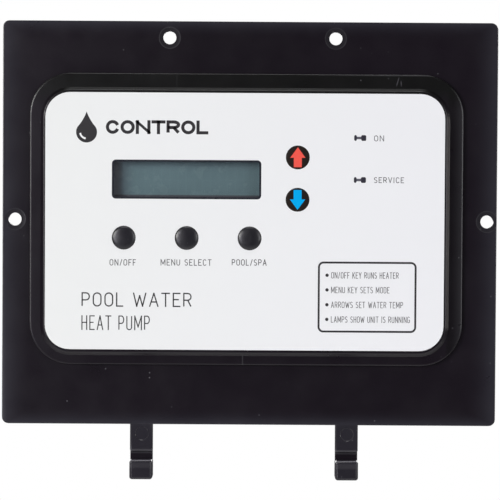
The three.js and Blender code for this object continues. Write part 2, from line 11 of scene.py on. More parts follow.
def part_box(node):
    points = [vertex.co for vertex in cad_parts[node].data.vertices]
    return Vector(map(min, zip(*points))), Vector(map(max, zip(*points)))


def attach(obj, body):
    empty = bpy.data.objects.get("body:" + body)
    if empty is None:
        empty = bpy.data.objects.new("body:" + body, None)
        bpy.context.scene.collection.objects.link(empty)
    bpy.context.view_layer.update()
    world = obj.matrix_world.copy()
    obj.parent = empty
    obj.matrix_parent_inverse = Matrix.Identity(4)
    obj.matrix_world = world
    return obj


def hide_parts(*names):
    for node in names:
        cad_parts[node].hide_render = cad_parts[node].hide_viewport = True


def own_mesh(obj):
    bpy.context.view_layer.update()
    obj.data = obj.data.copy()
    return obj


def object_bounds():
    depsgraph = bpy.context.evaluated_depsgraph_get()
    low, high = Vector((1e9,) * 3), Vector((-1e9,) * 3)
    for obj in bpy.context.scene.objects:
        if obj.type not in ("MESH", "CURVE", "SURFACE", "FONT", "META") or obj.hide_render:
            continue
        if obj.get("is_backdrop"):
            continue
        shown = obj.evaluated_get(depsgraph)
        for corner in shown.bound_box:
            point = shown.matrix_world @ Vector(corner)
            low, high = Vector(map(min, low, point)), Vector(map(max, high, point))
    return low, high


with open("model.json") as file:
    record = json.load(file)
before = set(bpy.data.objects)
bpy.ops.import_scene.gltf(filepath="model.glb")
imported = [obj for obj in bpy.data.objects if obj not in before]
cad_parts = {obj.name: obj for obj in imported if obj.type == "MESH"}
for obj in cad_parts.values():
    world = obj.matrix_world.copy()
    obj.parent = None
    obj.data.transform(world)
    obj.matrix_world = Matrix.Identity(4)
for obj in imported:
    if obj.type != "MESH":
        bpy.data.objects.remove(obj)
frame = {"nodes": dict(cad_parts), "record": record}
cad_lo, cad_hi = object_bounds()
NODES = frame["nodes"]
MM = 0.001
LIFT = 74.1                                   # plate centre above the origin, mm
PLATE_LOW = cad_hi.z - 0.1745                 # lower edge of the plate, m; the hooks hang below it
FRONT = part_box("graphic_overlay")[0].y        # front face of the overlay, m
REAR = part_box("control_board")[1].y           # rear face of the control board, m


def at(x, y, z):
    """A place in mm from the plate's centre, as a point in the row frame. y is in metres already."""
    return Vector((x * MM, y, (z + LIFT) * MM))


# ---------------------------------------------------------------- material helpers
def lin(c):
    return tuple((v / 12.92 if v <= 0.04045 else ((v + 0.055) / 1.055) ** 2.4) for v in (x / 255 for x in c)) + (1.0,)


class Mat:
    """A small wrapper that builds a node material."""

    def __init__(self, name):
        self.m = bpy.data.materials.new(name)
        self.m.use_nodes = True
        self.t = self.m.node_tree
        self.t.nodes.clear()
        self.out = self.t.nodes.new("ShaderNodeOutputMaterial")
        self.p = self.t.nodes.new("ShaderNodeBsdfPrincipled")
        self.t.links.new(self.p.outputs[0], self.out.inputs[0])
        self.co = self.t.nodes.new("ShaderNodeTexCoord").outputs["Object"]

    def node(self, kind, **inputs):
        n = self.t.nodes.new(kind)
        for k, v in inputs.items():
            self.put(n.inputs[k.replace("_", " ")], v)
        return n

    def put(self, socket, v):
        if isinstance(v, bpy.types.NodeSocket):
            self.t.links.new(v, socket)
        else:
            socket.default_value = v

    def math(self, op, a, b=0.0, clamp=False):
        n = self.t.nodes.new("ShaderNodeMath")
        n.operation, n.use_clamp = op, clamp
        self.put(n.inputs[0], a)
        self.put(n.inputs[1], b)
        return n.outputs[0]

    def scaled(self, s, offset=(0, 0, 0)):
        n = self.t.nodes.new("ShaderNodeMapping")
        self.t.links.new(self.co, n.inputs["Vector"])
        n.inputs["Scale"].default_value = s
        n.inputs["Location"].default_value = offset
        return n.outputs[0]

    def noise(self, scale, detail=3.0, rough=0.55, vector=None, distortion=0.0):
        n = self.t.nodes.new("ShaderNodeTexNoise")
        self.t.links.new(vector or self.co, n.inputs["Vector"])
        n.inputs["Scale"].default_value = scale
        n.inputs["Detail"].default_value = detail
        n.inputs["Roughness"].default_value = rough
        n.inputs["Distortion"].default_value = distortion
        return n.outputs["Fac"]

    def voronoi(self, scale, vector=None, metric="EUCLIDEAN", feature="F1", randomness=1.0):
        n = self.t.nodes.new("ShaderNodeTexVoronoi")
        n.distance, n.feature = metric, feature
        self.t.links.new(vector or self.co, n.inputs["Vector"])
        n.inputs["Scale"].default_value = scale
        n.inputs["Randomness"].default_value = randomness
        return n

    def remap(self, v, a, b, c=0.0, d=1.0):
        n = self.t.nodes.new("ShaderNodeMapRange")
        n.clamp = True
        for s, x in zip(("Value", "From Min", "From Max", "To Min", "To Max"), (v, a, b, c, d)):
            self.put(n.inputs[s], x)
        return n.outputs[0]

    def mix(self, fac, a, b):
        n = self.t.nodes.new("ShaderNodeMix")
        n.data_type = "RGBA"
        self.put(n.inputs[0], fac)
        self.put(n.inputs[6], a)
        self.put(n.inputs[7], b)
        return n.outputs[2]

    def axis(self, which):
        n = self.t.nodes.new("ShaderNodeSeparateXYZ")
        self.t.links.new(self.co, n.inputs[0])
        return n.outputs[which]

    def bump(self, height, strength, distance=0.0001, normal=None):
        n = self.t.nodes.new("ShaderNodeBump")
        n.inputs["Strength"].default_value = strength
        n.inputs["Distance"].default_value = distance
        self.put(n.inputs["Height"], height)
        if normal is not None:
            self.put(n.inputs["Normal"], normal)
        return n.outputs[0]

    def set(self, **inputs):
        for k, v in inputs.items():
            self.put(self.p.inputs[k.replace("_", " ")], v)
        return self

    def white_rgb(self, v):
        return (v, v, v, 1.0)


def scale_colour(c, k):
    return (c[0] * k, c[1] * k, c[2] * k, 1.0)


def plastic(name, colour, rough=0.4, vary=0.15, grain=1400.0, bump=0.06, dust=0.0, spec=0.5):
    """Moulded plastic: faint flow in its colour, fine grain, and a little dust."""
    m = Mat(name)
    flow = m.noise(22.0, 4.0, 0.6)
    c = m.mix(flow, scale_colour(colour, 1 - vary), scale_colour(colour, 1 + vary))
    r = m.remap(m.noise(160.0, 4.0), 0.3, 0.7, rough - 0.05, rough + 0.06)
    if dust:
        v = m.voronoi(700.0)
        chance = m.math("GREATER_THAN", m.remap(v.outputs["Color"], 0, 1), 1 - 0.07)
        speck = m.math("MULTIPLY", m.remap(v.outputs["Distance"], 0.16, 0.06), chance)
        c = m.mix(m.math("MULTIPLY", speck, dust), c, (0.35, 0.35, 0.37, 1))
        r = m.math("ADD", r, m.math("MULTIPLY", speck, 0.3))
    m.set(Base_Color=c, Roughness=r, Normal=m.bump(m.noise(grain, 2.0), bump, 0.00006))
    m.p.inputs["Specular IOR Level"].default_value = spec
    return m.m


def metal(name, colour, rough=0.3, brush=(30.0, 220.0, 30.0), bump=0.025):
    """Metal with a directional grain and slight tarnish."""
    m = Mat(name)
    g = m.noise(6.0, 4.0, 0.6, vector=m.scaled(brush))
    tarnish = m.noise(120.0, 2.0)
    c = m.mix(m.remap(tarnish, 0.35, 0.75), scale_colour(colour, 1.0), scale_colour(colour, 0.82))
    m.set(Base_Color=c, Metallic=1.0, Roughness=m.remap(g, 0.2, 0.8, rough - 0.08, rough + 0.12), Normal=m.bump(g, bump, 0.00005))
    return m.m


# ---------------------------------------------------------------- materials
def bezel_material():
    """Black ABS with a light sheen: faint flow, fine scuffs, and dust that catches the light."""
    m = Mat("bezel_abs")
    flow = m.noise(9.0, 4.0, 0.55)
    c = m.mix(m.remap(flow, 0.3, 0.7), (0.0050, 0.0030, 0.0060, 1), (0.0068, 0.0041, 0.0080, 1))
    # painted sheen: the plastic is lighter toward the plate's outer edges and on the hooks, standing in for light
    # caught there
    z = m.axis(2)
    side = m.math("SUBTRACT", cad_hi.x, m.math("ABSOLUTE", m.axis(0)))
    up = m.math("MULTIPLY", m.math("SUBTRACT", cad_hi.z, z), 1.9)
    down = m.math("MULTIPLY", m.math("SUBTRACT", z, PLATE_LOW), 1.9)
    near = m.math("MAXIMUM", m.math("MINIMUM", side, m.math("MINIMUM", up, down)), 0.0018)
    edge_sheen = m.math("POWER", m.remap(near, 0.0150, 0.0002), 2.6)
    on_hook = m.math("LESS_THAN", z, PLATE_LOW)
    shallow = m.remap(m.axis(1), 0.0012, 0.0005)             # the hook's set-back neck gets none of the painted sheen
    edge_sheen = m.math("MULTIPLY", edge_sheen, m.math("SUBTRACT", 1.0, m.math("MULTIPLY", on_hook, m.math("SUBTRACT", 1.0, m.math("MULTIPLY", shallow, m.remap(z, (-107.0 + LIFT) * MM, (-104.5 + LIFT) * MM, 0.62, 0.80))))))
    edge_sheen = m.math("MULTIPLY", edge_sheen, m.remap(m.noise(30.0, 3.0), 0.2, 0.8, 0.8, 1.15))
    c = m.mix(edge_sheen, c, (0.0246, 0.0238, 0.0318, 1))
    front = m.math("LESS_THAN", m.axis(1), 0.0004)
    # painted highlights on the hooks: lighter along the tab's lower edge, the neck under it, the foot's top edge and
    # the foot's upper face, where they catch light
    for z0, half, y0, y1, k, tone in ((-98.60, 0.75, -1.0, 0.9, 0.85, 0.056), (-99.65, 0.55, 0.9, 3.0, 0.70, 0.040), (-102.28, 0.52, -9.0, -3.3, 0.85, 0.170), (-104.55, 1.5, -9.0, 0.4, 0.50, 0.046)):
        line = m.remap(m.math("ABSOLUTE", m.math("SUBTRACT", z, (z0 + LIFT) * MM)), half * MM, half * 0.45 * MM)
        deep = m.math("MULTIPLY", m.math("GREATER_THAN", m.axis(1), y0 * MM), m.math("LESS_THAN", m.axis(1), y1 * MM))
        line = m.math("MULTIPLY", m.math("MULTIPLY", line, on_hook), m.math("MULTIPLY", deep, m.remap(m.noise(70.0, 2.0), 0.3, 0.7, 0.75 * k, k)))
        c = m.mix(line, c, (tone * 1.02, tone * 0.98, tone * 1.12, 1))
    # painted highlights: pale rings round the four holes and round the pin marks on the hooks, where the rims of their
    # shallow recesses catch light; the plastic inside the four larger rings is lighter too
    for x0, z0, r0, k in ((-34.9, 80.1, 4.55, 1.0), (36.8, 80.1, 4.55, 0.8), (-101.5, 1.4, 4.55, 0.8), (102.7, 1.4, 4.55, 0.8), (-46.2, -91.3, 2.75, 0.45), (42.8, -91.3, 2.75, 0.45)):
        dx = m.math("SUBTRACT", m.axis(0), x0 * MM)
        dz = m.math("SUBTRACT", z, (z0 + LIFT) * MM)
        d = m.math("SQRT", m.math("ADD", m.math("MULTIPLY", dx, dx), m.math("MULTIPLY", dz, dz)))
        line = m.remap(m.math("ABSOLUTE", m.math("SUBTRACT", d, r0 * MM)), 0.00026, 0.00010)
        line = m.math("MULTIPLY", m.math("MULTIPLY", line, front), m.remap(m.noise(90.0, 2.0), 0.35, 0.65, 0.35 * k, k))
        c = m.mix(line, c, (0.048, 0.047, 0.052, 1))
        if r0 > 4:
            inside = m.math("MULTIPLY", m.math("LESS_THAN", d, r0 * MM), m.math("MULTIPLY", front, 0.5))
            c = m.mix(inside, c, (0.0180, 0.0172, 0.0205, 1))
    # two short pale lines across the raised frame
    for x0, za, zb in ((-31.7, 58.6, 64.9), (-2.7, -61.3, -57.0)):
        line = m.remap(m.math("ABSOLUTE", m.math("SUBTRACT", m.axis(0), x0 * MM)), 0.00030, 0.00012)
        span = m.math("MULTIPLY", m.math("GREATER_THAN", z, (za + LIFT) * MM), m.math("LESS_THAN", z, (zb + LIFT) * MM))
        c = m.mix(m.math("MULTIPLY", m.math("MULTIPLY", line, span), m.math("MULTIPLY", front, 0.8)), c, (0.040, 0.039, 0.043, 1))
    # painted shade and highlight on the raised frame: darker on the right next to the platform, where the platform's
    # shadow falls, and lighter along its right-hand outer edge, where its rounding catches light
    raised = m.math("LESS_THAN", m.axis(1), -0.0012)
    right_edge_sheen = m.math("POWER", m.remap(m.axis(0), 0.0872, 0.0918), 1.5)
    # painted shade: this mask darkens the frame where the platform's shadow falls on its right side
    clean = m.math("MULTIPLY", raised, m.remap(m.axis(0), 0.0850, 0.0858))
    c = m.mix(m.math("MULTIPLY", clean, 0.75), c, (0.0022, 0.0014, 0.0024, 1))
    c = m.mix(m.math("MULTIPLY", m.math("MULTIPLY", raised, right_edge_sheen), 0.62), c, (0.030, 0.029, 0.033, 1))
    # painted shade: the frame's upper band is darker and less purple
    top_band_shade = m.math("MULTIPLY", raised, m.remap(z, (50.0 + LIFT) * MM, (58.0 + LIFT) * MM))
    c = m.mix(m.math("MULTIPLY", top_band_shade, 0.75), c, (0.0026, 0.0033, 0.0022, 1))
    # painted highlight: its upper edge is lighter toward the right, where its rounding catches light, and two short
    # scratches cross it there
    edge = m.remap(m.math("ABSOLUTE", m.math("SUBTRACT", z, (64.45 + LIFT) * MM)), 0.00060, 0.00030)
    edge = m.math("MULTIPLY", edge, m.math("MULTIPLY", m.remap(m.axis(0), 0.020, 0.062), m.math("LESS_THAN", m.axis(1), -0.0002)))
    c = m.mix(m.math("MULTIPLY", edge, 0.60), c, (0.050, 0.049, 0.053, 1))
    for x0, k, za, zb in ((64.1, 0.28, 59.3, 63.7), (64.9, -0.06, 59.3, 62.3)):
        at_x = m.math("ADD", m.math("MULTIPLY", m.math("SUBTRACT", z, (zb + LIFT) * MM), k), x0 * MM)
        line = m.remap(m.math("ABSOLUTE", m.math("SUBTRACT", m.axis(0), at_x)), 0.00034, 0.00012)
        span = m.math("MULTIPLY", m.remap(z, (za + LIFT) * MM, (za + 1.2 + LIFT) * MM), m.remap(z, (zb + LIFT) * MM, (zb - 1.0 + LIFT) * MM))
        c = m.mix(m.math("MULTIPLY", m.math("MULTIPLY", line, span), m.math("MULTIPLY", raised, 0.8)), c, (0.060, 0.058, 0.066, 1))
    # long, thin scuffs in two directions
    s1 = m.noise(7.0, 6.0, 0.7, vector=m.scaled((14.0, 40.0, 90.0)), distortion=0.4)
    s2 = m.noise(7.0, 6.0, 0.7, vector=m.scaled((80.0, 40.0, 12.0), (3.1, 1.7, 0.4)), distortion=0.5)
    scuff = m.math("ADD", m.remap(s1, 0.66, 0.80), m.remap(s2, 0.68, 0.82), clamp=True)
    patch = m.remap(m.noise(24.0, 2.0), 0.45, 0.7)
    scuff = m.math("MULTIPLY", scuff, patch)
    c = m.mix(m.math("MULTIPLY", scuff, 0.22), c, (0.10, 0.10, 0.115, 1))
    # dust specks
    v = m.voronoi(420.0)
    sep = m.node("ShaderNodeSeparateColor")
    m.t.links.new(v.outputs["Color"], sep.inputs[0])
    chance = m.math("GREATER_THAN", sep.outputs[0], 0.945)
    speck = m.math("MULTIPLY", m.remap(v.outputs["Distance"], 0.17, 0.05), chance)
    c = m.mix(m.math("MULTIPLY", speck, m.remap(m.noise(60.0, 2.0), 0.3, 0.7, 0.10, 0.50)), c, (0.20, 0.20, 0.22, 1))
    rough = m.remap(m.noise(70.0, 4.0), 0.3, 0.7, 0.27, 0.34)
    rough = m.math("ADD", rough, m.math("MULTIPLY", scuff, 0.12))
    rough = m.math("ADD", rough, m.math("MULTIPLY", speck, 0.3))
    fine = m.bump(m.noise(1500.0, 2.0), 0.05, 0.00005)
    wavy = m.bump(m.noise(34.0, 2.0), 0.12, 0.0004, normal=fine)
    m.set(Base_Color=c, Roughness=rough, Normal=wavy)
    m.p.inputs["Specular IOR Level"].default_value = 0.42
    return m.m


def overlay_material():
    """White printed polycarbonate with a very light texture and faint smudges."""
    m = Mat("overlay_film")
    # painted light: a trace warmer and greyer toward its left end, standing in for the tint and level of the light
    # there
    left_light_tone = m.remap(m.axis(0), -0.088, 0.070)
    c = m.mix(left_light_tone, (0.788, 0.802, 0.792, 1), (0.832, 0.838, 0.862, 1))
    c = m.mix(m.math("MULTIPLY", m.noise(14.0, 3.0), 0.25), c, (0.846, 0.850, 0.854, 1))
    grime = m.remap(m.noise(45.0, 5.0, 0.65), 0.62, 0.82)
    c = m.mix(m.math("MULTIPLY", grime, 0.006), c, (0.55, 0.55, 0.53, 1))
    rough = m.remap(m.noise(90.0, 4.0), 0.3, 0.7, 0.29, 0.34)
    m.set(Base_Color=c, Roughness=rough, Normal=m.bump(m.noise(900.0, 2.0), 0.04, 0.00004))
    m.p.inputs["Specular IOR Level"].default_value = 0.4
    return m.m


def key_material(name, colour, rough, spec=0.5):
    m = Mat(name)
    c = m.mix(m.noise(300.0, 3.0), scale_colour(colour, 0.85), scale_colour(colour, 1.15))
    v = m.voronoi(900.0)
    sep = m.node("ShaderNodeSeparateColor")
    m.t.links.new(v.outputs["Color"], sep.inputs[0])
    speck = m.math("MULTIPLY", m.remap(v.outputs["Distance"], 0.2, 0.08), m.math("GREATER_THAN", sep.outputs[0], 0.95))
    c = m.mix(m.math("MULTIPLY", speck, 0.25), c, (0.25, 0.25, 0.27, 1))
    m.set(Base_Color=c, Roughness=m.remap(m.noise(500.0, 3.0), 0.3, 0.7, rough - 0.04, rough + 0.05), Normal=m.bump(m.noise(2600.0, 2.0), 0.10, 0.00005))
    m.p.inputs["Specular IOR Level"].default_value = spec
    return m.m


def ink(name, colour, rough=0.45, spec=0.4):
    m = Mat(name)
    c = m.mix(m.noise(700.0, 3.0), scale_colour(colour, 0.9), scale_colour(colour, 1.12))
    m.set(Base_Color=c, Roughness=m.remap(m.noise(400.0, 2.0), 0.3, 0.7, rough - 0.04, rough + 0.06))
    m.p.inputs["Specular IOR Level"].default_value = spec
    return m.m


def pane_material(name, tint, mirror=0.5, rough=0.05):
    """A thin clear pane: lets light through, tinted, with a Fresnel reflection."""
    m = Mat(name)
    m.t.nodes.remove(m.p)
    clear = m.node("ShaderNodeBsdfTransparent")
    smudge = m.remap(m.noise(60.0, 4.0, 0.6), 0.4, 0.8)
    clear.inputs["Color"].default_value = tint
    m.put(clear.inputs["Color"], m.mix(smudge, tint, scale_colour(tint, 0.96)))
    gloss = m.node("ShaderNodeBsdfGlossy")
    gloss.inputs["Color"].default_value = (1, 1, 1, 1)
    m.put(gloss.inputs["Roughness"], m.remap(smudge, 0, 1, rough, rough + 0.08))
    fres = m.node("ShaderNodeFresnel")
    fres.inputs["IOR"].default_value = 1.5
    mixer = m.node("ShaderNodeMixShader")
    m.put(mixer.inputs[0], m.math("MULTIPLY", fres.outputs[0], mirror))
    m.t.links.new(clear.outputs[0], mixer.inputs[1])
    m.t.links.new(gloss.outputs[0], mixer.inputs[2])
    m.t.links.new(mixer.outputs[0], m.out.inputs[0])
    return m.m


def lcd_material():
    """The liquid crystal cell when off: grey-green, with the character cells just visible."""
    m = Mat("lcd_cell")
    lo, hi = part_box("lcd_glass")
    cx, cz = (lo.x + hi.x) / 2, (lo.z + hi.z) / 2
    base = m.mix(m.noise(9.0, 2.0), (0.278, 0.388, 0.420, 1), (0.292, 0.405, 0.438, 1))
    # 16 by 2 characters of 5 by 8 dots
    px, pz = 0.00355, 0.00594
    x = m.math("SUBTRACT", m.axis(0), cx - 8 * px)
    z = m.math("SUBTRACT", m.axis(2), cz - pz)
    fx = m.math("FRACT", m.math("DIVIDE", x, px))
    fz = m.math("FRACT", m.math("DIVIDE", z, pz))
    inside = m.math("MULTIPLY", m.math("LESS_THAN", fx, 0.83), m.math("LESS_THAN", fz, 0.93))
    inside = m.math("MULTIPLY", inside, m.math("MULTIPLY", m.math("GREATER_THAN", x, 0.0), m.math("LESS_THAN", x, 16 * px)))
    inside = m.math("MULTIPLY", inside, m.math("MULTIPLY", m.math("GREATER_THAN", z, 0.0), m.math("LESS_THAN", z, 2 * pz)))
    dots = m.math("MULTIPLY", m.math("GREATER_THAN", m.math("FRACT", m.math("DIVIDE", x, 0.0006)), 0.12), m.math("GREATER_THAN", m.math("FRACT", m.math("DIVIDE", z, 0.00069)), 0.12))
    ghost = m.math("MULTIPLY", m.math("MULTIPLY", inside, dots), 0.06)
    c = m.mix(ghost, base, (0.05, 0.07, 0.075, 1))
    # Painted shadow: browner and darker at the left and along the top, where the window's walls shade the cell, with a
    # purplish strip just inside the left edge at the shadow's edge. The cell is also darker along the bottom.
    vlo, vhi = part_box("display_window")
    left = m.remap(m.axis(0), vlo.x + 0.0042, vlo.x + 0.0092, 1.0, 0.0)
    rim = m.remap(m.axis(0), vlo.x + 0.0020, vlo.x + 0.0045, 1.0, 0.0)
    top = m.remap(m.axis(2), vhi.z - 0.0046, vhi.z - 0.0016, 0.0, 1.0)
    low = m.remap(m.axis(2), vlo.z + 0.0014, vlo.z + 0.0019, 1.0, 0.0)
    c = m.mix(m.math("MULTIPLY", top, 0.75), c, (0.235, 0.305, 0.345, 1))
    c = m.mix(left, c, (0.245, 0.305, 0.340, 1))
    c = m.mix(rim, c, (0.335, 0.330, 0.370, 1))
    c = m.mix(m.math("MULTIPLY", low, 0.85), c, (0.16, 0.13, 0.15, 1))
    m.set(Base_Color=c, Roughness=m.remap(m.noise(200.0, 3.0), 0.3, 0.7, 0.22, 0.3))
    return m.m


def board_material(name, seed):
    """Green solder mask over copper: tracks run in straight steps, with vias where they end."""
    m = Mat(name)
    green, light, dark = (0.012, 0.105, 0.040, 1), (0.030, 0.190, 0.080, 1), (0.008, 0.07, 0.028, 1)
    v = m.voronoi(150.0, vector=m.scaled((1, 0.0, 1), (seed, 0, seed * 0.7)), metric="MANHATTAN", feature="F1")
    rings = m.math("FRACT", m.math("MULTIPLY", v.outputs["Distance"], 6.0))
    track = m.math("MULTIPLY", m.math("GREATER_THAN", rings, 0.56), m.math("LESS_THAN", rings, 0.84))
    area = m.remap(m.noise(18.0, 2.0), 0.44, 0.5)
    c = m.mix(m.noise(40.0, 3.0), green, dark)
    c = m.mix(m.math("MULTIPLY", m.math("MULTIPLY", track, area), 0.75), c, light)
    v2 = m.voronoi(190.0, vector=m.scaled((1, 0.0, 1), (seed * 2, 0, 0)))
    sep = m.node("ShaderNodeSeparateColor")
    m.t.links.new(v2.outputs["Color"], sep.inputs[0])
    via = m.math("MULTIPLY", m.math("LESS_THAN", v2.outputs["Distance"], 0.09), m.math("GREATER_THAN", sep.outputs[1], 0.72))
    c = m.mix(via, c, (0.55, 0.52, 0.44, 1))
    m.set(Base_Color=c, Roughness=m.remap(m.noise(300.0, 3.0), 0.3, 0.7, 0.28, 0.4), Normal=m.bump(track, 0.25, 0.00004))
    return m.m


def circuit_material():
    """Printed silver tracks on a clear brown film."""
    m = Mat("circuit_film")
    x = m.math("FRACT", m.math("MULTIPLY", m.axis(0), 420.0))
    tracks = m.math("LESS_THAN", x, 0.45)
    wide = m.remap(m.noise(14.0, 1.0), 0.48, 0.5)
    c = m.mix(m.math("MULTIPLY", tracks, wide), (0.33, 0.22, 0.09, 1), (0.55, 0.55, 0.53, 1))
    m.set(Base_Color=c, Roughness=m.remap(m.noise(200.0, 2.0), 0.3, 0.7, 0.3, 0.42))
    return m.m


def tail_material():
    """Flexible tail: amber film with evenly spaced tracks along it."""
    m = Mat("tail_film")
    lo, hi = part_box("keypad_tail")
    f = m.math("FRACT", m.math("DIVIDE", m.math("SUBTRACT", m.axis(0), lo.x + 0.0008), 0.00127))
    on = m.math("LESS_THAN", f, 0.55)
    edge = m.math("MULTIPLY", m.math("GREATER_THAN", m.axis(0), lo.x + 0.0008), m.math("LESS_THAN", m.axis(0), hi.x - 0.0008))
    c = m.mix(m.math("MULTIPLY", on, edge), (0.36, 0.19, 0.055, 1), (0.62, 0.61, 0.58, 1))
    m.set(Base_Color=c, Roughness=m.remap(m.noise(300.0, 2.0), 0.3, 0.7, 0.25, 0.35))
    return m.m


def lamp_window_material(name, x0):
    """Smoked clear window; its neck lets more of the white lamp body through."""
    m = Mat(name)
    d = m.math("ABSOLUTE", m.math("SUBTRACT", m.axis(0), x0 - 0.00050))
    neck = m.remap(d, 0.00125, 0.0007)
    c = m.mix(neck, (0.036, 0.034, 0.047, 1), (0.13, 0.125, 0.155, 1))
    c = m.mix(m.noise(1800.0, 2.0), c, m.mix(0.3, c, (0.02, 0.02, 0.03, 1)))
    m.set(Base_Color=c, Roughness=m.remap(m.noise(700.0, 2.0), 0.3, 0.7, 0.15, 0.25))
    m.p.inputs["Coat Weight"].default_value = 0.2
    return m.m


def sleeve_material(name, node):
    """Printed sleeve of a capacitor: dark blue with one pale stripe along it."""
    m = Mat(name)
    lo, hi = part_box(node)
    cx, cz = (lo.x + hi.x) / 2, (lo.z + hi.z) / 2
    x, z = m.math("SUBTRACT", m.axis(0), cx), m.math("SUBTRACT", m.axis(2), cz)
    angle = m.math("ARCTAN2", z, x)
    stripe = m.math("LESS_THAN", m.math("ABSOLUTE", m.math("SUBTRACT", angle, 2.4)), 0.32)
    marks = m.math("GREATER_THAN", m.math("FRACT", m.math("MULTIPLY", m.axis(1), 260.0)), 0.45)
    marks = m.math("MULTIPLY", marks, m.math("LESS_THAN", m.math("ABSOLUTE", m.math("SUBTRACT", angle, 2.4)), 0.07))
    c = m.mix(stripe, (0.014, 0.022, 0.055, 1), (0.55, 0.58, 0.62, 1))
    c = m.mix(marks, c, (0.014, 0.022, 0.055, 1))
    m.set(Base_Color=c, Roughness=m.remap(m.noise(400.0, 2.0), 0.3, 0.7, 0.24, 0.34), Normal=m.bump(m.noise(600.0, 2.0), 0.05, 0.00005))
    return m.m


def fuse_material():
    """Glass fuse: metal caps at both ends, clear tube between them."""
    m = Mat("fuse_glass")
    lo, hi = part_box("fuse")
    d = m.math("ABSOLUTE", m.math("SUBTRACT", m.axis(0), (lo.x + hi.x) / 2))
    cap = m.math("GREATER_THAN", d, 0.0051)
    off = m.math("SUBTRACT", m.axis(2), (lo.z + hi.z) / 2)
    wire = m.math("MULTIPLY", m.math("LESS_THAN", m.math("ABSOLUTE", off), 0.00022), m.math("GREATER_THAN", m.axis(1), (lo.y + hi.y) / 2))
    glass = m.mix(wire, (0.34, 0.38, 0.38, 1), (0.09, 0.09, 0.09, 1))
    c = m.mix(cap, glass, (0.58, 0.58, 0.56, 1))
    m.set(Base_Color=c, Metallic=cap, Roughness=m.remap(m.noise(500.0, 2.0), 0.3, 0.7, 0.14, 0.26))
    return m.m


def regulator_material():
    """Moulded body with a bare metal tab above it and tinned legs below it."""
    m = Mat("regulator_body")
    lo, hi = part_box("regulator")
    y0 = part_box("control_board")[1].y
    bare = m.math("ADD", m.math("GREATER_THAN", m.axis(1), y0 + 0.01303), m.math("LESS_THAN", m.axis(1), y0 + 0.00398), clamp=True)
    grain = m.noise(6.0, 4.0, 0.6, vector=m.scaled((60.0, 500.0, 60.0)))
    c = m.mix(bare, m.mix(m.noise(60.0, 3.0), (0.011, 0.011, 0.012, 1), (0.016, 0.016, 0.017, 1)), (0.56, 0.56, 0.57, 1))
    m.set(Base_Color=c, Metallic=bare, Roughness=m.remap(grain, 0.2, 0.8, 0.30, 0.46), Normal=m.bump(m.noise(1500.0, 2.0), 0.06, 0.00005))
    return m.m


def leaded_chip_material(name, node, half):
    """Black epoxy body; anything further out than half (m) from its middle line is a tinned leg."""
    m = Mat(name)
    lo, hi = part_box(node)
    out = m.math("GREATER_THAN", m.math("ABSOLUTE", m.math("SUBTRACT", m.axis(2), (lo.z + hi.z) / 2)), half)
    body = m.mix(m.noise(500.0, 3.0), (0.011, 0.011, 0.012, 1), (0.017, 0.017, 0.018, 1))
    c = m.mix(out, body, (0.58, 0.58, 0.56, 1))
    m.set(Base_Color=c, Metallic=out, Roughness=m.remap(m.noise(900.0, 2.0), 0.3, 0.7, 0.34, 0.46), Normal=m.bump(m.noise(2200.0, 2.0), 0.12, 0.00005))
    return m.m


def relay_material(node):
    """Blue relay case with the line where its case meets the sealed base."""
    m = Mat("case_" + node)
    y0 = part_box("control_board")[1].y
    line = m.math("LESS_THAN", m.math("ABSOLUTE", m.math("SUBTRACT", m.axis(1), y0 + 0.0014)), 0.00014)
    c = m.mix(m.noise(22.0, 4.0, 0.6), (0.009, 0.054, 0.180, 1), (0.011, 0.066, 0.220, 1))
    c = m.mix(line, c, (0.002, 0.012, 0.045, 1))
    m.set(Base_Color=c, Roughness=m.remap(m.noise(160.0, 4.0), 0.3, 0.7, 0.27, 0.38), Normal=m.bump(m.noise(1400.0, 2.0), 0.06, 0.00006))
    return m.m


M = {
    "bezel": bezel_material(),
    "overlay": overlay_material(),
    "window": pane_material("display_pane", (0.93, 0.95, 0.95, 1), 0.6, 0.06),
    "keypad_film": plastic("spacer_film", (0.030, 0.030, 0.035), 0.5),
    "circuit_film": circuit_material(),
    "tail": tail_material(),
    "lamp": plastic("lamp_body", (0.62, 0.62, 0.56), 0.35),
    "key": key_material("key_cap", (0.0078, 0.0074, 0.0112), 0.335, 0.70),
    "arrow_key": key_material("arrow_key_cap", (0.0105, 0.0052, 0.0030), 0.50, 0.24),
    "snap_dome": metal("dome_steel", (0.62, 0.62, 0.64), 0.22),
    "lcd_frame": metal("lcd_frame_steel", (0.06, 0.062, 0.068), 0.38),
    "lcd_glass": lcd_material(),
    "lcd_light": plastic("diffuser", (0.72, 0.74, 0.66), 0.4),
    "black_part": plastic("black_moulding", (0.012, 0.012, 0.013), 0.42),
    "screw": metal("zinc_screw", (0.52, 0.53, 0.55), 0.28),
    "relay": plastic("relay_case", (0.010, 0.060, 0.200), 0.32, 0.1),
    "terminal": plastic("terminal_housing", (0.020, 0.190, 0.065), 0.42, 0.12),
    "header": plastic("nylon", (0.74, 0.70, 0.60), 0.42, 0.06),
    "clip": metal("tinned_clip", (0.55, 0.50, 0.36), 0.3),
    "sink": metal("sink_aluminium", (0.50, 0.51, 0.53), 0.34),
    "crystal": metal("crystal_can", (0.66, 0.67, 0.68), 0.30, (12.0, 60.0, 12.0), 0.01),
    "fuse": fuse_material(),
}
INK = ink("print_dark", (0.022, 0.020, 0.023))
INK_THIN = ink("print_grey", (0.052, 0.048, 0.053))
INK_RED = ink("print_red", (0.80, 0.094, 0.070), 0.6, 0.12)
INK_BLUE = ink("print_blue", (0.0, 0.37, 0.79), 0.6, 0.06)
INK_BORDER = ink("print_border", (0.018, 0.020, 0.028), 0.3)
INK_SILK = ink("silk_white", (0.70, 0.70, 0.66), 0.6)
SOLDER = metal("solder", (0.58, 0.58, 0.58), 0.26)
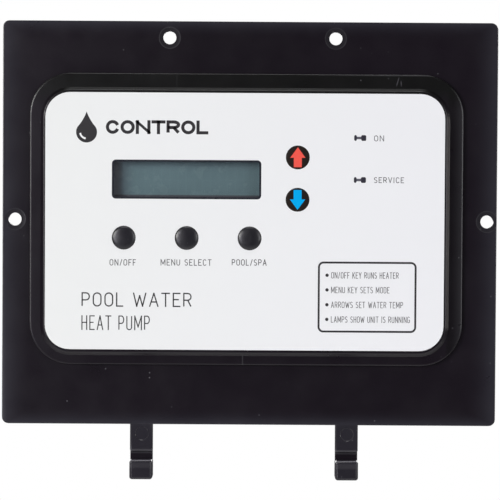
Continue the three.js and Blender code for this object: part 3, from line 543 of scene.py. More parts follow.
TIN = metal("chip_ends", (0.60, 0.60, 0.58), 0.3)
CHIP = plastic("chip_body", (0.015, 0.015, 0.016), 0.4)
CERAMIC = plastic("ceramic_body", (0.42, 0.28, 0.15), 0.4)


# ---------------------------------------------------------------- CAD nodes: shading, edges and materials
def finish_node(name, bevel=0.0, angle=35.0):
    """Smooths round faces, keeps flat ones flat, and rounds sharp edges. Only modifiers: the mesh stays as packed."""
    o = NODES[name]
    if "custom_normal" in o.data.attributes:
        o.data.attributes.remove(o.data.attributes["custom_normal"])
    o.data.polygons.foreach_set("use_smooth", [True] * len(o.data.polygons))
    w = o.modifiers.new("weld", "WELD")
    w.merge_threshold = 2e-6
    if bevel:
        b = o.modifiers.new("bevel", "BEVEL")
        b.width, b.segments, b.limit_method, b.angle_limit = bevel, 2, "ANGLE", math.radians(50)
        b.use_clamp_overlap = True
        b.miter_outer = "MITER_ARC"
    e = o.modifiers.new("split", "EDGE_SPLIT")
    e.split_angle = math.radians(angle)
    n = o.modifiers.new("normals", "WEIGHTED_NORMAL")
    n.weight = 80


slot_of = {s["node"]: s["material_slot"] for s in frame["record"]["subparts"]}
BEVELS = {"relay_1": 0.0004, "relay_2": 0.0004, "relay_3": 0.0004, "tail_connector": 0.0003, "lcd_header": 0.0002,
          "regulator": 0.0002, "control_board": 0.0, "lcd_frame": 0.0003, "lcd_backlight": 0.0003}
for name, o in NODES.items():
    finish_node(name, BEVELS.get(name, 0.0), 40.0 if name == "bezel" else 50.0 if name.startswith("key_") or name.startswith("dome_") else 35.0)
    s = slot_of[name]
    if name in ("key_up", "key_down"):
        mat = M["arrow_key"]
    elif name == "control_board":
        mat = board_material("control_board_mask", 3.7)
    elif name == "lcd_board":
        mat = board_material("lcd_board_mask", 9.1)
    elif name == "regulator":
        mat = regulator_material()
    elif name == "driver_chip":
        mat = leaded_chip_material("driver_body", name, 0.00352)
    elif name.startswith("relay_"):
        mat = relay_material(name)
    elif s == "sleeve":
        mat = sleeve_material("sleeve_" + name, name)
    elif s == "lamp_window":
        mat = lamp_window_material("smoke_" + name, (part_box(name)[0].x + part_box(name)[1].x) / 2)
    else:
        mat = M[s]
    o.data.materials.clear()
    o.data.materials.append(mat)


# ---------------------------------------------------------------- new pieces
def piece(name, bm, mat, body="panel", smooth=False):
    bmesh.ops.recalc_face_normals(bm, faces=bm.faces) if smooth else None
    me = bpy.data.meshes.new(name)
    bm.to_mesh(me)
    bm.free()
    for p in me.polygons:
        p.use_smooth = smooth
    o = bpy.data.objects.new(name, me)
    bpy.context.scene.collection.objects.link(o)
    me.materials.append(mat)
    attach(o, body)
    return o


def flat_poly(bm, pts, y):
    """A filled outline in X and Z (mm from the plate's centre) that faces -Y."""
    vs = [bm.verts.new(at(x, y, z)) for x, z in pts]
    f = bm.faces.new(vs)
    f.normal_update()
    if f.normal.y > 0:
        f.normal_flip()
    return f


def ribbon(bm, pts, width, y, closed=False, face=-1):
    """A stroke of even width along a row of points in X and Z, facing -Y, or +Y where face is 1."""
    n = len(pts)
    left, right = [], []
    for i, (x, z) in enumerate(pts):
        dirs = []
        if i > 0 or closed:
            a = pts[(i - 1) % n]
            dirs.append(Vector((x - a[0], z - a[1])).normalized())
        if i < n - 1 or closed:
            b = pts[(i + 1) % n]
            dirs.append(Vector((b[0] - x, b[1] - z)).normalized())
        d = sum(dirs, Vector((0, 0)))
        if d.length < 1e-6:
            d = dirs[0].copy()
        d.normalize()
        nrm = Vector((-d.y, d.x))
        k = max(0.4, abs(nrm.dot(Vector((-dirs[0].y, dirs[0].x)))))
        off = nrm * (width / 2 / k)
        left.append((x + off.x, z + off.y))
        right.append((x - off.x, z - off.y))
    lv = [bm.verts.new(at(x, y, z)) for x, z in left]
    rv = [bm.verts.new(at(x, y, z)) for x, z in right]
    for i in range(n if closed else n - 1):
        j = (i + 1) % n
        f = bm.faces.new((rv[i], rv[j], lv[j], lv[i]))
        f.normal_update()
        if f.normal.y * face < 0:
            f.normal_flip()


def arc(cx, cz, rx, rz, a0, a1, n=10):
    return [(cx + rx * math.cos(math.radians(a0 + (a1 - a0) * i / n)), cz + rz * math.sin(math.radians(a0 + (a1 - a0) * i / n))) for i in range(n + 1)]


# Single-stroke capitals in a box of width 1 and height 1, with their relative widths.
def glyph(ch, w):
    r = 0.5                                  # half width
    q = min(0.5, 0.5 * w)                    # height of a round end, so that it is a circle's
    if ch == "A":
        return [[(0, 0), (0.5, 1), (1, 0)], [(0.17, 0.33), (0.83, 0.33)]], False
    if ch == "C":
        return [arc(r, 1 - q, r, q, 20, 180) + arc(r, q, r, q, 180, 340)], False
    if ch == "D":
        return [[(0, 0), (0, 1), (0.5, 1)] + arc(0.5, 1 - q, 0.5, q, 90, 0, 6) + arc(0.5, q, 0.5, q, 0, -90, 6) + [(0, 0)]], False
    if ch == "E":
        return [[(1, 1), (0, 1), (0, 0), (1, 0)], [(0, 0.52), (0.86, 0.52)]], False
    if ch == "F":
        return [[(1, 1), (0, 1), (0, 0)], [(0, 0.5), (0.86, 0.5)]], False
    if ch == "G":
        return [arc(r, 1 - q, r, q, 20, 180) + arc(r, q, r, q, 180, 360) + [(1, 0.46), (0.56, 0.46)]], False
    if ch == "H":
        return [[(0, 0), (0, 1)], [(1, 0), (1, 1)], [(0, 0.52), (1, 0.52)]], False
    if ch == "I":
        return [[(0.5, 0), (0.5, 1)]], False
    if ch == "K":
        return [[(0, 0), (0, 1)], [(1, 1), (0, 0.40)], [(0.32, 0.60), (1, 0)]], False
    if ch == "L":
        return [[(0, 1), (0, 0), (1, 0)]], False
    if ch == "M":
        return [[(0, 0), (0, 1)], [(0, 1), (0.5, 0.2)], [(0.5, 0.2), (1, 1)], [(1, 1), (1, 0)]], False
    if ch == "N":
        return [[(0, 0), (0, 1)], [(0, 1), (1, 0)], [(1, 0), (1, 1)]], False
    if ch == "O":
        return [arc(r, 1 - q, r, q, 0, 180) + arc(r, q, r, q, 180, 360)], True
    if ch == "P":
        b = 0.27
        return [[(0, 0), (0, 1), (0.55, 1)] + arc(0.55, 1 - b, 0.45, b, 90, -90, 10) + [(0, 1 - 2 * b)]], False
    if ch == "R":
        b = 0.26
        return [[(0, 0), (0, 1), (0.55, 1)] + arc(0.55, 1 - b, 0.45, b, 90, -90, 10) + [(0, 1 - 2 * b)], [(0.55, 1 - 2 * b), (1, 0)]], False
    if ch == "S":
        return [arc(0.5, 0.755, 0.48, 0.245, 28, 270, 12)[:-1] + arc(0.5, 0.255, 0.5, 0.255, 90, -152, 12)], False
    if ch == "T":
        return [[(0, 1), (1, 1)], [(0.5, 1), (0.5, 0)]], False
    if ch == "U":
        return [[(0, 1)] + arc(r, q, r, q, 180, 360) + [(1, 1)]], False
    if ch == "V":
        return [[(0, 1), (0.5, 0), (1, 1)]], False
    if ch == "W":
        return [[(0, 1), (0.26, 0), (0.5, 0.8), (0.74, 0), (1, 1)]], False
    if ch == "Y":
        return [[(0, 1), (0.5, 0.45), (1, 1)], [(0.5, 0.45), (0.5, 0)]], False
    if ch == "/":
        return [[(0, -0.08), (1, 1.06)]], False
    return [], False


WIDTH = {"I": 0.08, "M": 0.84, "W": 1.02, "N": 0.66, "T": 0.62, "L": 0.50, "E": 0.54, "F": 0.52, "/": 0.42, " ": 0.24, "A": 0.68, "V": 0.66, "S": 0.56, "O": 0.64, "Y": 0.64}


def broken(pts):
    """Breaks a row of points where it turns back on itself, so that no mitre grows long."""
    rows, row = [], [pts[0]]
    for i in range(1, len(pts)):
        row.append(pts[i])
        if i + 1 < len(pts):
            a = Vector((pts[i][0] - pts[i - 1][0], pts[i][1] - pts[i - 1][1])).normalized()
            b = Vector((pts[i + 1][0] - pts[i][0], pts[i + 1][1] - pts[i][1])).normalized()
            if a.dot(b) < -0.2:
                rows.append(row)
                row = [pts[i]]
    rows.append(row)
    return rows


def lettering(name, text, x0, x1, z0, z1, stroke, mat, gap=0.30, body="panel", y=None, plump=1.0):
    """Prints text between x0 and x1 and z0 and z1, in mm from the plate's centre."""
    y = FRONT - 0.000015 if y is None else y
    h = z1 - z0
    widths = [WIDTH.get(c, 0.60) * (plump if c not in " I" else 1) for c in text]
    total = sum(widths) + gap * (len(text) - 1)
    k = (x1 - x0 - stroke) / total           # mm for each unit of width
    bm = bmesh.new()
    x = x0 + stroke / 2
    for c, w in zip(text, widths):
        strokes, closed = glyph(c, w * k / (h - stroke))
        for s in strokes:
            pts = [(x + a * w * k, z0 + stroke / 2 + b * (h - stroke)) for a, b in s]
            clean = [pts[0]]
            for p in pts[1:]:
                if math.hypot(p[0] - clean[-1][0], p[1] - clean[-1][1]) > 1e-4:
                    clean.append(p)
            if closed and math.hypot(clean[0][0] - clean[-1][0], clean[0][1] - clean[-1][1]) < 1e-4:
                clean.pop()
            for row in [clean] if closed else broken(clean):
                for i, j in () if closed else ((0, 1), (-1, -2)):    # square ends
                    d = Vector((row[i][0] - row[j][0], row[i][1] - row[j][1])).normalized() * (stroke / 2)
                    if c in "AEFHIKLMNTVWXY" and not (c in "EFAH" and 0.2 < (row[i][1] - z0) / h < 0.8):
                        row[i] = (row[i][0] + d.x, row[i][1] + d.y)
                ribbon(bm, row, stroke, y, closed)
        x += (w + gap) * k
    zb, zt = (z0 + LIFT) * MM, (z1 + LIFT) * MM
    if "/" not in text:
        for v in bm.verts:                   # no mitre stands above or below the line
            v.co.z = min(max(v.co.z, zb), zt)
    return piece(name, bm, mat, body)


lettering("print_title", "CONTROL", -62.1, -18.0, 38.38, 44.32, 1.36, INK, gap=0.30, plump=1.25)
lettering("print_name", "POOL WATER", -72.28, -24.8, -36.08, -29.91, 0.55, INK, gap=0.34)
lettering("print_heat_pump", "HEAT PUMP", -72.28, -42.76, -46.19, -39.87, 0.46, INK, gap=0.40)
lettering("print_on_off", "ON/OFF", -60.23, -48.88, -18.31, -15.57, 0.30, INK_THIN, gap=0.42)
lettering("print_menu_select", "MENU SELECT", -38.23, -16.33, -18.16, -15.42, 0.30, INK_THIN, gap=0.42)
lettering("print_pool_spa", "POOL/SPA", -7.57, 7.42, -18.01, -15.28, 0.30, INK_THIN, gap=0.42)
lettering("print_on", "ON", 53.36, 57.64, 35.85, 38.39, 0.28, INK_THIN, gap=0.42)
lettering("print_service", "SERVICE", 53.46, 66.40, 17.93, 20.42, 0.28, INK_THIN, gap=0.42)

# Outlined box with four short lines
BOX = (30.02, 71.72, -46.24, -16.47)
bm = bmesh.new()
r = 2.0
outline = []
for cx, cz, a in ((BOX[1] - r, BOX[2] + r, -90), (BOX[1] - r, BOX[3] - r, 0), (BOX[0] + r, BOX[3] - r, 90), (BOX[0] + r, BOX[2] + r, 180)):
    outline += arc(cx, cz, r, r, a, a + 90, 8)
ribbon(bm, outline, 0.84, FRONT - 0.000015, closed=True)
piece("print_box", bm, INK)
for i, (text, x1, zc) in enumerate((("ON/OFF KEY RUNS HEATER", 64.41, -21.95), ("MENU KEY SETS MODE", 60.53, -28.27), ("ARROWS SET WATER TEMP", 66.40, -34.69), ("LAMPS SHOW UNIT IS RUNNING", 69.39, -41.01))):
    lettering(f"print_line_{i + 1}", text, 35.34, x1, zc - 1.36, zc + 1.36, 0.24, INK_THIN, gap=0.40)
    bm = bmesh.new()
    flat_poly(bm, arc(33.55, zc, 0.72, 0.72, 0, 345, 23), FRONT - 0.000015)
    piece(f"print_dot_{i + 1}", bm, INK)

# A plain water drop stands in the corner: solid, with a pale crescent
bm = bmesh.new()
cx, cz, rr = -70.39, 39.08, 4.5
drop = arc(cx, cz, rr, rr, 150, 390, 30)
tip = (cx, 47.94)
a, b = drop[-1], drop[0]
right = [((1 - t) ** 2 * a[0] + 2 * t * (1 - t) * (cx + 1.3) + t * t * tip[0], (1 - t) ** 2 * a[1] + 2 * t * (1 - t) * (cz + 5.2) + t * t * tip[1]) for t in (0.15, 0.3, 0.45, 0.6, 0.75, 0.9)]
left = [(2 * cx - x, z) for x, z in reversed(right)]
flat_poly(bm, drop + right + [tip] + left, FRONT - 0.000015)
piece("print_drop", bm, INK)
bm = bmesh.new()
ribbon(bm, arc(cx, cz, 2.75, 2.75, 188, 262, 12), 0.75, FRONT - 0.00003)
piece("print_drop_shine", bm, ink("print_white", (0.80, 0.81, 0.82)))

# Dark printed border round the display window
wlo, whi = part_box("display_window")
bm = bmesh.new()
W = 0.00082


def frame_ring(bm, lo, hi, w, y, r):
    outer, inner = [], []
    for sx, sz, a in ((1, -1, -90), (1, 1, 0), (-1, 1, 90), (-1, -1, 180)):
        ox = (hi.x - r) if sx > 0 else (lo.x + r)
        oz = (hi.z - r) if sz > 0 else (lo.z + r)
        for i in range(7):
            t = math.radians(a + 15 * i)
            outer.append((ox + r * math.cos(t), oz + r * math.sin(t)))
            ri = max(r - w, 0.0002)
            ix = (hi.x - w - ri) if sx > 0 else (lo.x + w + ri)
            iz = (hi.z - w - ri) if sz > 0 else (lo.z + w + ri)
            inner.append((ix + ri * math.cos(t), iz + ri * math.sin(t)))
    ov = [bm.verts.new((x, y, z)) for x, z in outer]
    iv = [bm.verts.new((x, y, z)) for x, z in inner]
    n = len(ov)
    for i in range(n):
        j = (i + 1) % n
        f = bm.faces.new((ov[i], ov[j], iv[j], iv[i]))
        f.normal_update()
        if f.normal.y > 0:
            f.normal_flip()


frame_ring(bm, wlo, whi, W, FRONT - 0.00001, 0.0017)
piece("window_border", bm, INK_BORDER)

# Arrows on the two temperature keys
for key, mat, up in (("key_up", INK_RED, 1), ("key_down", INK_BLUE, -1)):
    lo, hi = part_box(key)
    cx, cz = (lo.x + hi.x) / 2 / MM, (lo.z + hi.z) / 2 / MM - LIFT
    pts = [(0, 4.35), (3.3, -0.15), (1.72, -0.15), (1.72, -4.2), (-1.72, -4.2), (-1.72, -0.15), (-3.3, -0.15)]
    bm = bmesh.new()
    # The outline is concave, so the head and the shaft are two faces.
    flat_poly(bm, [(cx + x, cz + up * z) for x, z in (pts[0], pts[1], pts[6])], lo.y - 0.00002)
    flat_poly(bm, [(cx + x, cz + up * z) for x, z in pts[2:6]], lo.y - 0.00002)
    piece("arrow_" + key[4:], bm, mat, key)


# ---------------------------------------------------------------- small parts on the control board
def add_box(bm, x, y0, y1, z, w, h):
    """x, z, w and h in mm from the plate's centre; y0 and y1 in metres."""
    v = [bm.verts.new(at(x + sx * w / 2, y, z + sz * h / 2)) for y in (y0, y1) for sx, sz in ((-1, -1), (1, -1), (1, 1), (-1, 1))]
    for q in ((0, 1, 2, 3), (7, 6, 5, 4), (0, 4, 5, 1), (1, 5, 6, 2), (2, 6, 7, 3), (3, 7, 4, 0)):
        bm.faces.new([v[i] for i in q])


def add_bump(bm, x, z, r, y0, h, n=10):
    """A low solder cone that rises by h (m) from y0."""
    rings = []
    for k, t in ((1.0, 0.0), (0.62, 0.35), (0.38, 0.8), (0.16, 1.0)):
        rings.append([bm.verts.new(at(x + r * k * math.cos(2 * math.pi * i / n), y0 + h * t, z + r * k * math.sin(2 * math.pi * i / n))) for i in range(n)])
    for a, b in zip(rings, rings[1:]):
        for i in range(n):
            j = (i + 1) % n
            bm.faces.new((a[i], a[j], b[j], b[i]))
    bm.faces.new(rings[-1])


random.seed(7)
chips, ends, ceramics, pads = bmesh.new(), bmesh.new(), bmesh.new(), bmesh.new()
spots = []
for row, (x0, z0, n, dx, dz) in enumerate(((-28, 34, 5, 3.6, 0), (16, 34, 8, 3.4, 0), (16, 12, 7, 3.6, 0), (-30, 8, 7, 3.6, 0), (52, 20, 5, 0, 4.0), (58, 20, 5, 0, 4.0), (-62, 14, 5, 0, 4.4), (-56, 14, 5, 0, 4.4), (30, -28, 6, 3.6, 0))):
    for i in range(n):
        spots.append((x0 + i * dx, z0 + i * dz, row))
for x, z, row in spots:
    upright = row not in (4, 5, 6, 7)
    w, h = (1.6, 3.0) if upright else (3.0, 1.6)
    tall = 0.0009 if row % 3 == 1 else 0.0006
    body = ceramics if row % 3 == 1 else chips
    if upright:
        add_box(body, x, REAR, REAR + tall, z, w, h * 0.66)
        for s in (-1, 1):
            add_box(ends, x, REAR, REAR + tall * 1.04, z + s * h * 0.40, w * 1.02, h * 0.2)
            add_box(pads, x, REAR, REAR + 0.00006, z + s * h * 0.5, w * 1.2, h * 0.32)
    else:
        add_box(body, x, REAR, REAR + tall, z, w * 0.66, h)
        for s in (-1, 1):
            add_box(ends, x + s * w * 0.40, REAR, REAR + tall * 1.04, z, w * 0.2, h * 1.02)
            add_box(pads, x + s * w * 0.5, REAR, REAR + 0.00006, z, w * 0.32, h * 1.2)
piece("chip_bodies", chips, CHIP)
piece("chip_ceramics", ceramics, CERAMIC)
piece("chip_ends", ends, TIN)
piece("chip_pads", pads, SOLDER)

# Silk-screen outlines
bm = bmesh.new()


def silk(x, z, w, h, line=0.22):
    pts = [(x - w / 2, z - h / 2), (x + w / 2, z - h / 2), (x + w / 2, z + h / 2), (x - w / 2, z + h / 2)]
    for i in range(4):
        (ax, az), (bx, bz) = pts[i], pts[(i + 1) % 4]
        add_box(bm, (ax + bx) / 2, REAR, REAR + 0.00004, (az + bz) / 2, abs(bx - ax) + line, abs(bz - az) + line)


for node in ("relay_1", "relay_2", "relay_3", "terminal_block", "power_terminal", "heat_sink", "capacitor_1", "capacitor_2", "capacitor_3", "microcontroller", "driver_chip", "crystal", "sensor_header", "comm_header", "fuse"):
    lo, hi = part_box(node)
    silk((lo.x + hi.x) / 2 / MM, (lo.z + hi.z) / 2 / MM - LIFT, (hi.x - lo.x) / MM + 1.2, (hi.z - lo.z) / MM + 1.2)
piece("silk_lines", bm, INK_SILK)

# Solder joints on the front of the control board, under the through-hole parts, and on the back of the display's board
BOARD_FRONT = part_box("control_board")[0].y
bm = bmesh.new()
for node, nx, nz in (("terminal_block", 8, 2), ("power_terminal", 4, 2), ("relay_1", 3, 2), ("relay_2", 3, 2), ("relay_3", 3, 2), ("driver_chip", 9, 2), ("sensor_header", 8, 1), ("comm_header", 4, 1), ("capacitor_1", 2, 1), ("capacitor_2", 2, 1), ("microcontroller", 6, 6)):
    lo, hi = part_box(node)
    for i in range(nx):
        for j in range(nz):
            x = lo.x + (hi.x - lo.x) * (i + 0.5) / nx
            z = lo.z + (hi.z - lo.z) * ((j + 0.5) / nz if nz < 2 else 0.12 + 0.76 * j / (nz - 1))
            add_bump(bm, x / MM, z / MM - LIFT, 0.85, BOARD_FRONT, -0.0008, 8)
piece("solder_front", bm, SOLDER, smooth=True)
LCD_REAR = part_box("lcd_board")[1].y
hlo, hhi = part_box("lcd_header")
bm = bmesh.new()
for i in range(16):
    x = hlo.x / MM + 1.25 + 2.54 * i
    for dz in (-1.7, 1.7):
        add_bump(bm, x, (hlo.z + hhi.z) / 2 / MM - LIFT + dz, 0.5, LCD_REAR, 0.0004, 8)
piece("solder_lcd", bm, SOLDER, smooth=True)

# Two dark blobs of resin over the display's driver chips
for i, dx in enumerate((-14.0, 12.0)):
    llo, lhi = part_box("lcd_board")
    cx, cz = (llo.x + lhi.x) / 2 / MM + dx, (llo.z + lhi.z) / 2 / MM - LIFT - 3.0
    bm = bmesh.new()
    rings = []
    for k, t in ((1.0, 0.0), (0.97, 0.35), (0.86, 0.62), (0.62, 0.86), (0.3, 0.98)):
        rings.append([bm.verts.new(at(cx + 6.0 * k * (1 + 0.03 * math.sin(3 * u)) * math.cos(u), LCD_REAR + 0.0013 * t, cz + 6.0 * k * math.sin(u))) for u in (2 * math.pi * q / 28 for q in range(28))])
    for a_, b_ in zip(rings, rings[1:]):
        for q in range(28):
            bm.faces.new((a_[q], a_[(q + 1) % 28], b_[(q + 1) % 28], b_[q]))
    bm.faces.new(rings[-1])
    piece(f"chip_resin_{i + 1}", bm, M["black_part"], smooth=True)

# Slotted clamp screws in the terminal blocks
bm = bmesh.new()
for node, ways in (("terminal_block", 8), ("power_terminal", 4)):
    lo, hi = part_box(node)
    for i in range(ways):
        x = (lo.x + (hi.x - lo.x) * (i + 0.5) / ways) / MM
        z = (lo.z + 0.0052) / MM - LIFT
        y0 = hi.y - 0.0016
        for s in (-1, 1):                    # two half discs with a slot between them
            pts = [(x + 1.42 * math.cos(t), z + s * (0.24 + 1.18 * math.sin(t))) for t in (math.pi * q / 9 for q in range(10))]
            lower = [bm.verts.new(at(px, y0, pz)) for px, pz in pts]
            upper = [bm.verts.new(at(px, y0 + 0.00045, pz)) for px, pz in pts]
            bm.faces.new(upper)
            for q in range(10):
                bm.faces.new((lower[q], lower[(q + 1) % 10], upper[(q + 1) % 10], upper[q]))
bmesh.ops.recalc_face_normals(bm, faces=bm.faces)
piece("clamp_screws", bm, M["screw"])

# Scored tops of the capacitors
for node in ("capacitor_1", "capacitor_2", "capacitor_3"):
    lo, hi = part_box(node)
    cx, cz, r = (lo.x + hi.x) / 2, (lo.z + hi.z) / 2, (hi.x - lo.x) / 2 - 0.0009
    bm = bmesh.new()
    y = hi.y + 0.00004
    rings = [[bm.verts.new((cx + r * k * math.cos(t), y + d, cz + r * k * math.sin(t))) for t in (2 * math.pi * q / 32 for q in range(32))] for k, d in ((1.0, 0.0), (0.96, 0.00012), (0.3, 0.00010))]
    for a_, b_ in zip(rings, rings[1:]):
        for q in range(32):
            bm.faces.new((a_[q], b_[q], b_[(q + 1) % 32], a_[(q + 1) % 32]))
    bm.faces.new(rings[-1])
    bmesh.ops.recalc_face_normals(bm, faces=bm.faces)
    piece("can_top_" + node[-1], bm, M["sink"])
    bm = bmesh.new()
    for a_ in (0.6, 0.6 + math.pi / 2):
        d = Vector((math.cos(a_), 0, math.sin(a_))) * r * 0.7
        s = Vector((-math.sin(a_), 0, math.cos(a_))) * 0.00012
        c0 = Vector((cx, y + 0.00018, cz))
        bm.faces.new([bm.verts.new(p) for p in (c0 - d - s, c0 + d - s, c0 + d + s, c0 - d + s)])
    piece("can_score_" + node[-1], bm, CHIP)


# Copper tracks under the solder mask, as low ridges with straight and 45 degree runs
TRACK = plastic("mask_over_copper", (0.026, 0.175, 0.070), 0.30, 0.10)
tracks, vias = bmesh.new(), bmesh.new()


def via(x, z, r=0.42):
    ribbon(vias, arc(x, z, r * 0.75, r * 0.75, 0, 330, 11), r * 0.5, REAR + 0.00006, closed=True, face=1)


def track(pts, width=0.42, ends=True):
    ribbon(tracks, pts, width, REAR + 0.00003, face=1)
    if ends:
        via(*pts[0])
        via(*pts[-1])


for i in range(5):                                           # controller to sensor header
    z = 31.1 - 1.05 * i
    track([(-5.9, z), (-31.0 - 1.05 * i, z), (-37.2 - 2.5 * i + 1.45 * i, z + 5.9 - 0.4 * i + 0.4 * i)], 0.40)
for i in range(7):                                           # controller to driver
    track([(10.8, 17.2 + 1.25 * i), (15.6, 17.2 + 1.25 * i), (17.6 + 0.6 * (i % 2), 17.2 + 1.25 * i + (1.0 if i > 3 else -1.0)), (21.6, 17.2 + 1.25 * i + (1.0 if i > 3 else -1.0))], 0.36)
for i in range(7):                                           # driver to its resistors, and on toward the heat sink
    x = 25.9 + 2.54 * (i - 1)
    track([(x, 17.0), (x, 15.2), (16.0 + 3.6 * i, 14.2)] if abs(x - 16 - 3.6 * i) < 3 else [(x, 17.0), (x, 14.6)], 0.36, False)
    track([(16.0 + 3.6 * i, 9.8), (16.0 + 3.6 * i, 7.4 - 0.5 * i), (18.4 + 3.6 * i, 5.0 - 0.5 * i)], 0.36)
for i, x in enumerate((-57.0, -36.0, -15.0)):                # coil lines
    z = 2.6 - 1.15 * i
    track([(x, -3.4), (x, z - 1.4), (x + 1.4, z), (-4.4 + 1.1 * i, z), (-3.2 + 1.1 * i, z + 1.2), (-3.2 + 1.1 * i, 13.0)], 0.45)
for i in range(5):                                           # inputs up to the controller
    x = 21.2 + 5.08 * i
    track([(x, -34.0), (x, -31.4 + 1.1 * i - 1.1), (x - 1.1, -30.4 + 1.1 * i - 1.1), (0.6 - 1.1 * i + 3.6, -30.4 + 1.1 * i - 1.1), (-0.6 - 1.1 * i + 3.6, -29.2 + 1.1 * i - 1.1), (-0.6 - 1.1 * i + 3.6, 12.8)] if i < 4 else [(x, -34.0), (x, -31.0)], 0.42)
for x0, z0, x1, z1 in ((-58.0, -24.4, -55.6, -33.9), (-50.0, -24.4, -50.5, -33.9), (-33.0, -24.4, -45.4, -33.9), (-12.0, -24.4, -19.6, -33.2)):
    track([(x0, z0), (x0, (z0 + z1) / 2 + abs(x1 - x0) / 2 * (1 if z0 > z1 else -1)), (x1, (z0 + z1) / 2 - abs(x1 - x0) / 2 * (1 if z0 > z1 else -1)), (x1, z1)], 2.4, False)
track([(40.6, -9.0), (40.6, -2.0), (36.0, 2.6), (24.0, 2.6)], 2.0, False)
track([(57.0, -8.0), (57.0, -3.4)], 2.0, False)
for i in range(4):                                           # communication header to the controller
    px, tx, z = -11.75 + 2.5 * i, -3.08 + 1.27 * i, 33.2 + 0.95 * i
    track([(px, 38.4), (px, z + 0.6), (px + 0.6, z), (tx - 0.6, z), (tx, z - 0.6), (tx, 31.2)], 0.38)
for i in range(5):                                           # right-hand columns
    track([(54.6, 20.2 + 4 * i), (56.0, 20.2 + 4 * i)], 0.36, False)
    track([(60.4, 20.2 + 4 * i), (63.6, 20.2 + 4 * i), (64.4, 21.0 + 4 * i)], 0.36)
for i in range(5):
    track([(-59.4, 14.2 + 4.4 * i), (-58.6, 14.2 + 4.4 * i)], 0.36, False)
    track([(-53.4, 14.2 + 4.4 * i), (-49.6 + 0.8 * i, 14.2 + 4.4 * i)], 0.36)
piece("board_tracks", tracks, TRACK)
piece("board_vias", vias, SOLDER)

# Bare rings round the board's screws
bm = bmesh.new()
for i in range(4):
    lo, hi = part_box(f"board_screw_{i + 1}")
    ribbon(bm, arc((lo.x + hi.x) / 2 / MM, (lo.z + hi.z) / 2 / MM - LIFT, 3.1, 3.1, 0, 350, 35), 1.0, REAR + 0.00005, closed=True, face=1)
piece("board_rings", bm, SOLDER)

# J-shaped legs of the controller, a dot at its first leg, and a notch mark on the driver
bm = bmesh.new()
lo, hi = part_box("microcontroller")
mx, mz, mw = (lo.x + hi.x) / 2 / MM, (lo.z + hi.z) / 2 / MM - LIFT, (hi.x - lo.x) / 2 / MM
for i in range(11):
    d = (i - 5) * 1.27
    for sx, sz in ((1, 0), (-1, 0), (0, 1), (0, -1)):
        x, z = mx + sx * (mw + 0.16) + (d if sz else 0), mz + sz * (mw + 0.16) + (d if sx else 0)
        add_box(bm, x, REAR + 0.0001, REAR + 0.0022, z, 0.30 if sx else 0.56, 0.56 if sx else 0.30)
        add_box(bm, x + sx * 0.28, REAR, REAR + 0.0005, z + sz * 0.28, 0.7 if sx else 0.60, 0.60 if sx else 0.7)
piece("controller_legs", bm, TIN)
bm = bmesh.new()
ribbon(bm, arc(mx, mz + mw - 2.2, 0.65, 0.65, 0, 345, 23), 0.22, hi.y + 0.00002, closed=True, face=1)
lo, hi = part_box("driver_chip")
ribbon(bm, arc(lo.x / MM + 0.1, (lo.z + hi.z) / 2 / MM - LIFT, 1.1, 1.1, -90, 90, 12), 0.24, hi.y + 0.00002, face=1)
piece("chip_marks", bm, INK_SILK)

# Vent nubs and the raised rims on the relay tops
for i in range(3):
    lo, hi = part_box(f"relay_{i + 1}")
    cx, cz = (lo.x + hi.x) / 2 / MM, (lo.z + hi.z) / 2 / MM - LIFT
    w, h = (hi.x - lo.x) / 2 / MM - 1.9, (hi.z - lo.z) / 2 / MM - 1.9
    bm = bmesh.new()
    rim = []
    for px, pz, a in ((w, -h, -90), (w, h, 0), (-w, h, 90), (-w, -h, 180)):
        rim += arc(cx + px - math.copysign(1.0, px), cz + pz - math.copysign(1.0, pz), 1.0, 1.0, a, a + 90, 5)
    n, rows = len(rim), []
    for off, y in ((0.35, hi.y - 0.00002), (0.22, hi.y + 0.00022), (-0.22, hi.y + 0.00022), (-0.35, hi.y - 0.00002)):
        rows.append([bm.verts.new(at(cx + (px - cx) * (1 + off / w), y, cz + (pz - cz) * (1 + off / h))) for px, pz in rim])
    for a_, b_ in zip(rows, rows[1:]):
        for q in range(n):
            bm.faces.new((a_[q], a_[(q + 1) % n], b_[(q + 1) % n], b_[q]))
    nub = [[bm.verts.new(at(cx + w - 3.0 + r_ * math.cos(t), y, cz + h - 3.0 + r_ * math.sin(t))) for t in (2 * math.pi * q / 20 for q in range(20))] for r_, y in ((0.95, hi.y - 0.00002), (0.95, hi.y + 0.0003), (0.75, hi.y + 0.00042), (0.35, hi.y + 0.00042), (0.30, hi.y + 0.0002))]
    for a_, b_ in zip(nub, nub[1:]):
        for q in range(20):
            bm.faces.new((a_[q], a_[(q + 1) % 20], b_[(q + 1) % 20], b_[q]))
    bm.faces.new(nub[-1])
    bmesh.ops.recalc_face_normals(bm, faces=bm.faces)
    piece(f"relay_top_{i + 1}", bm, M["relay"])


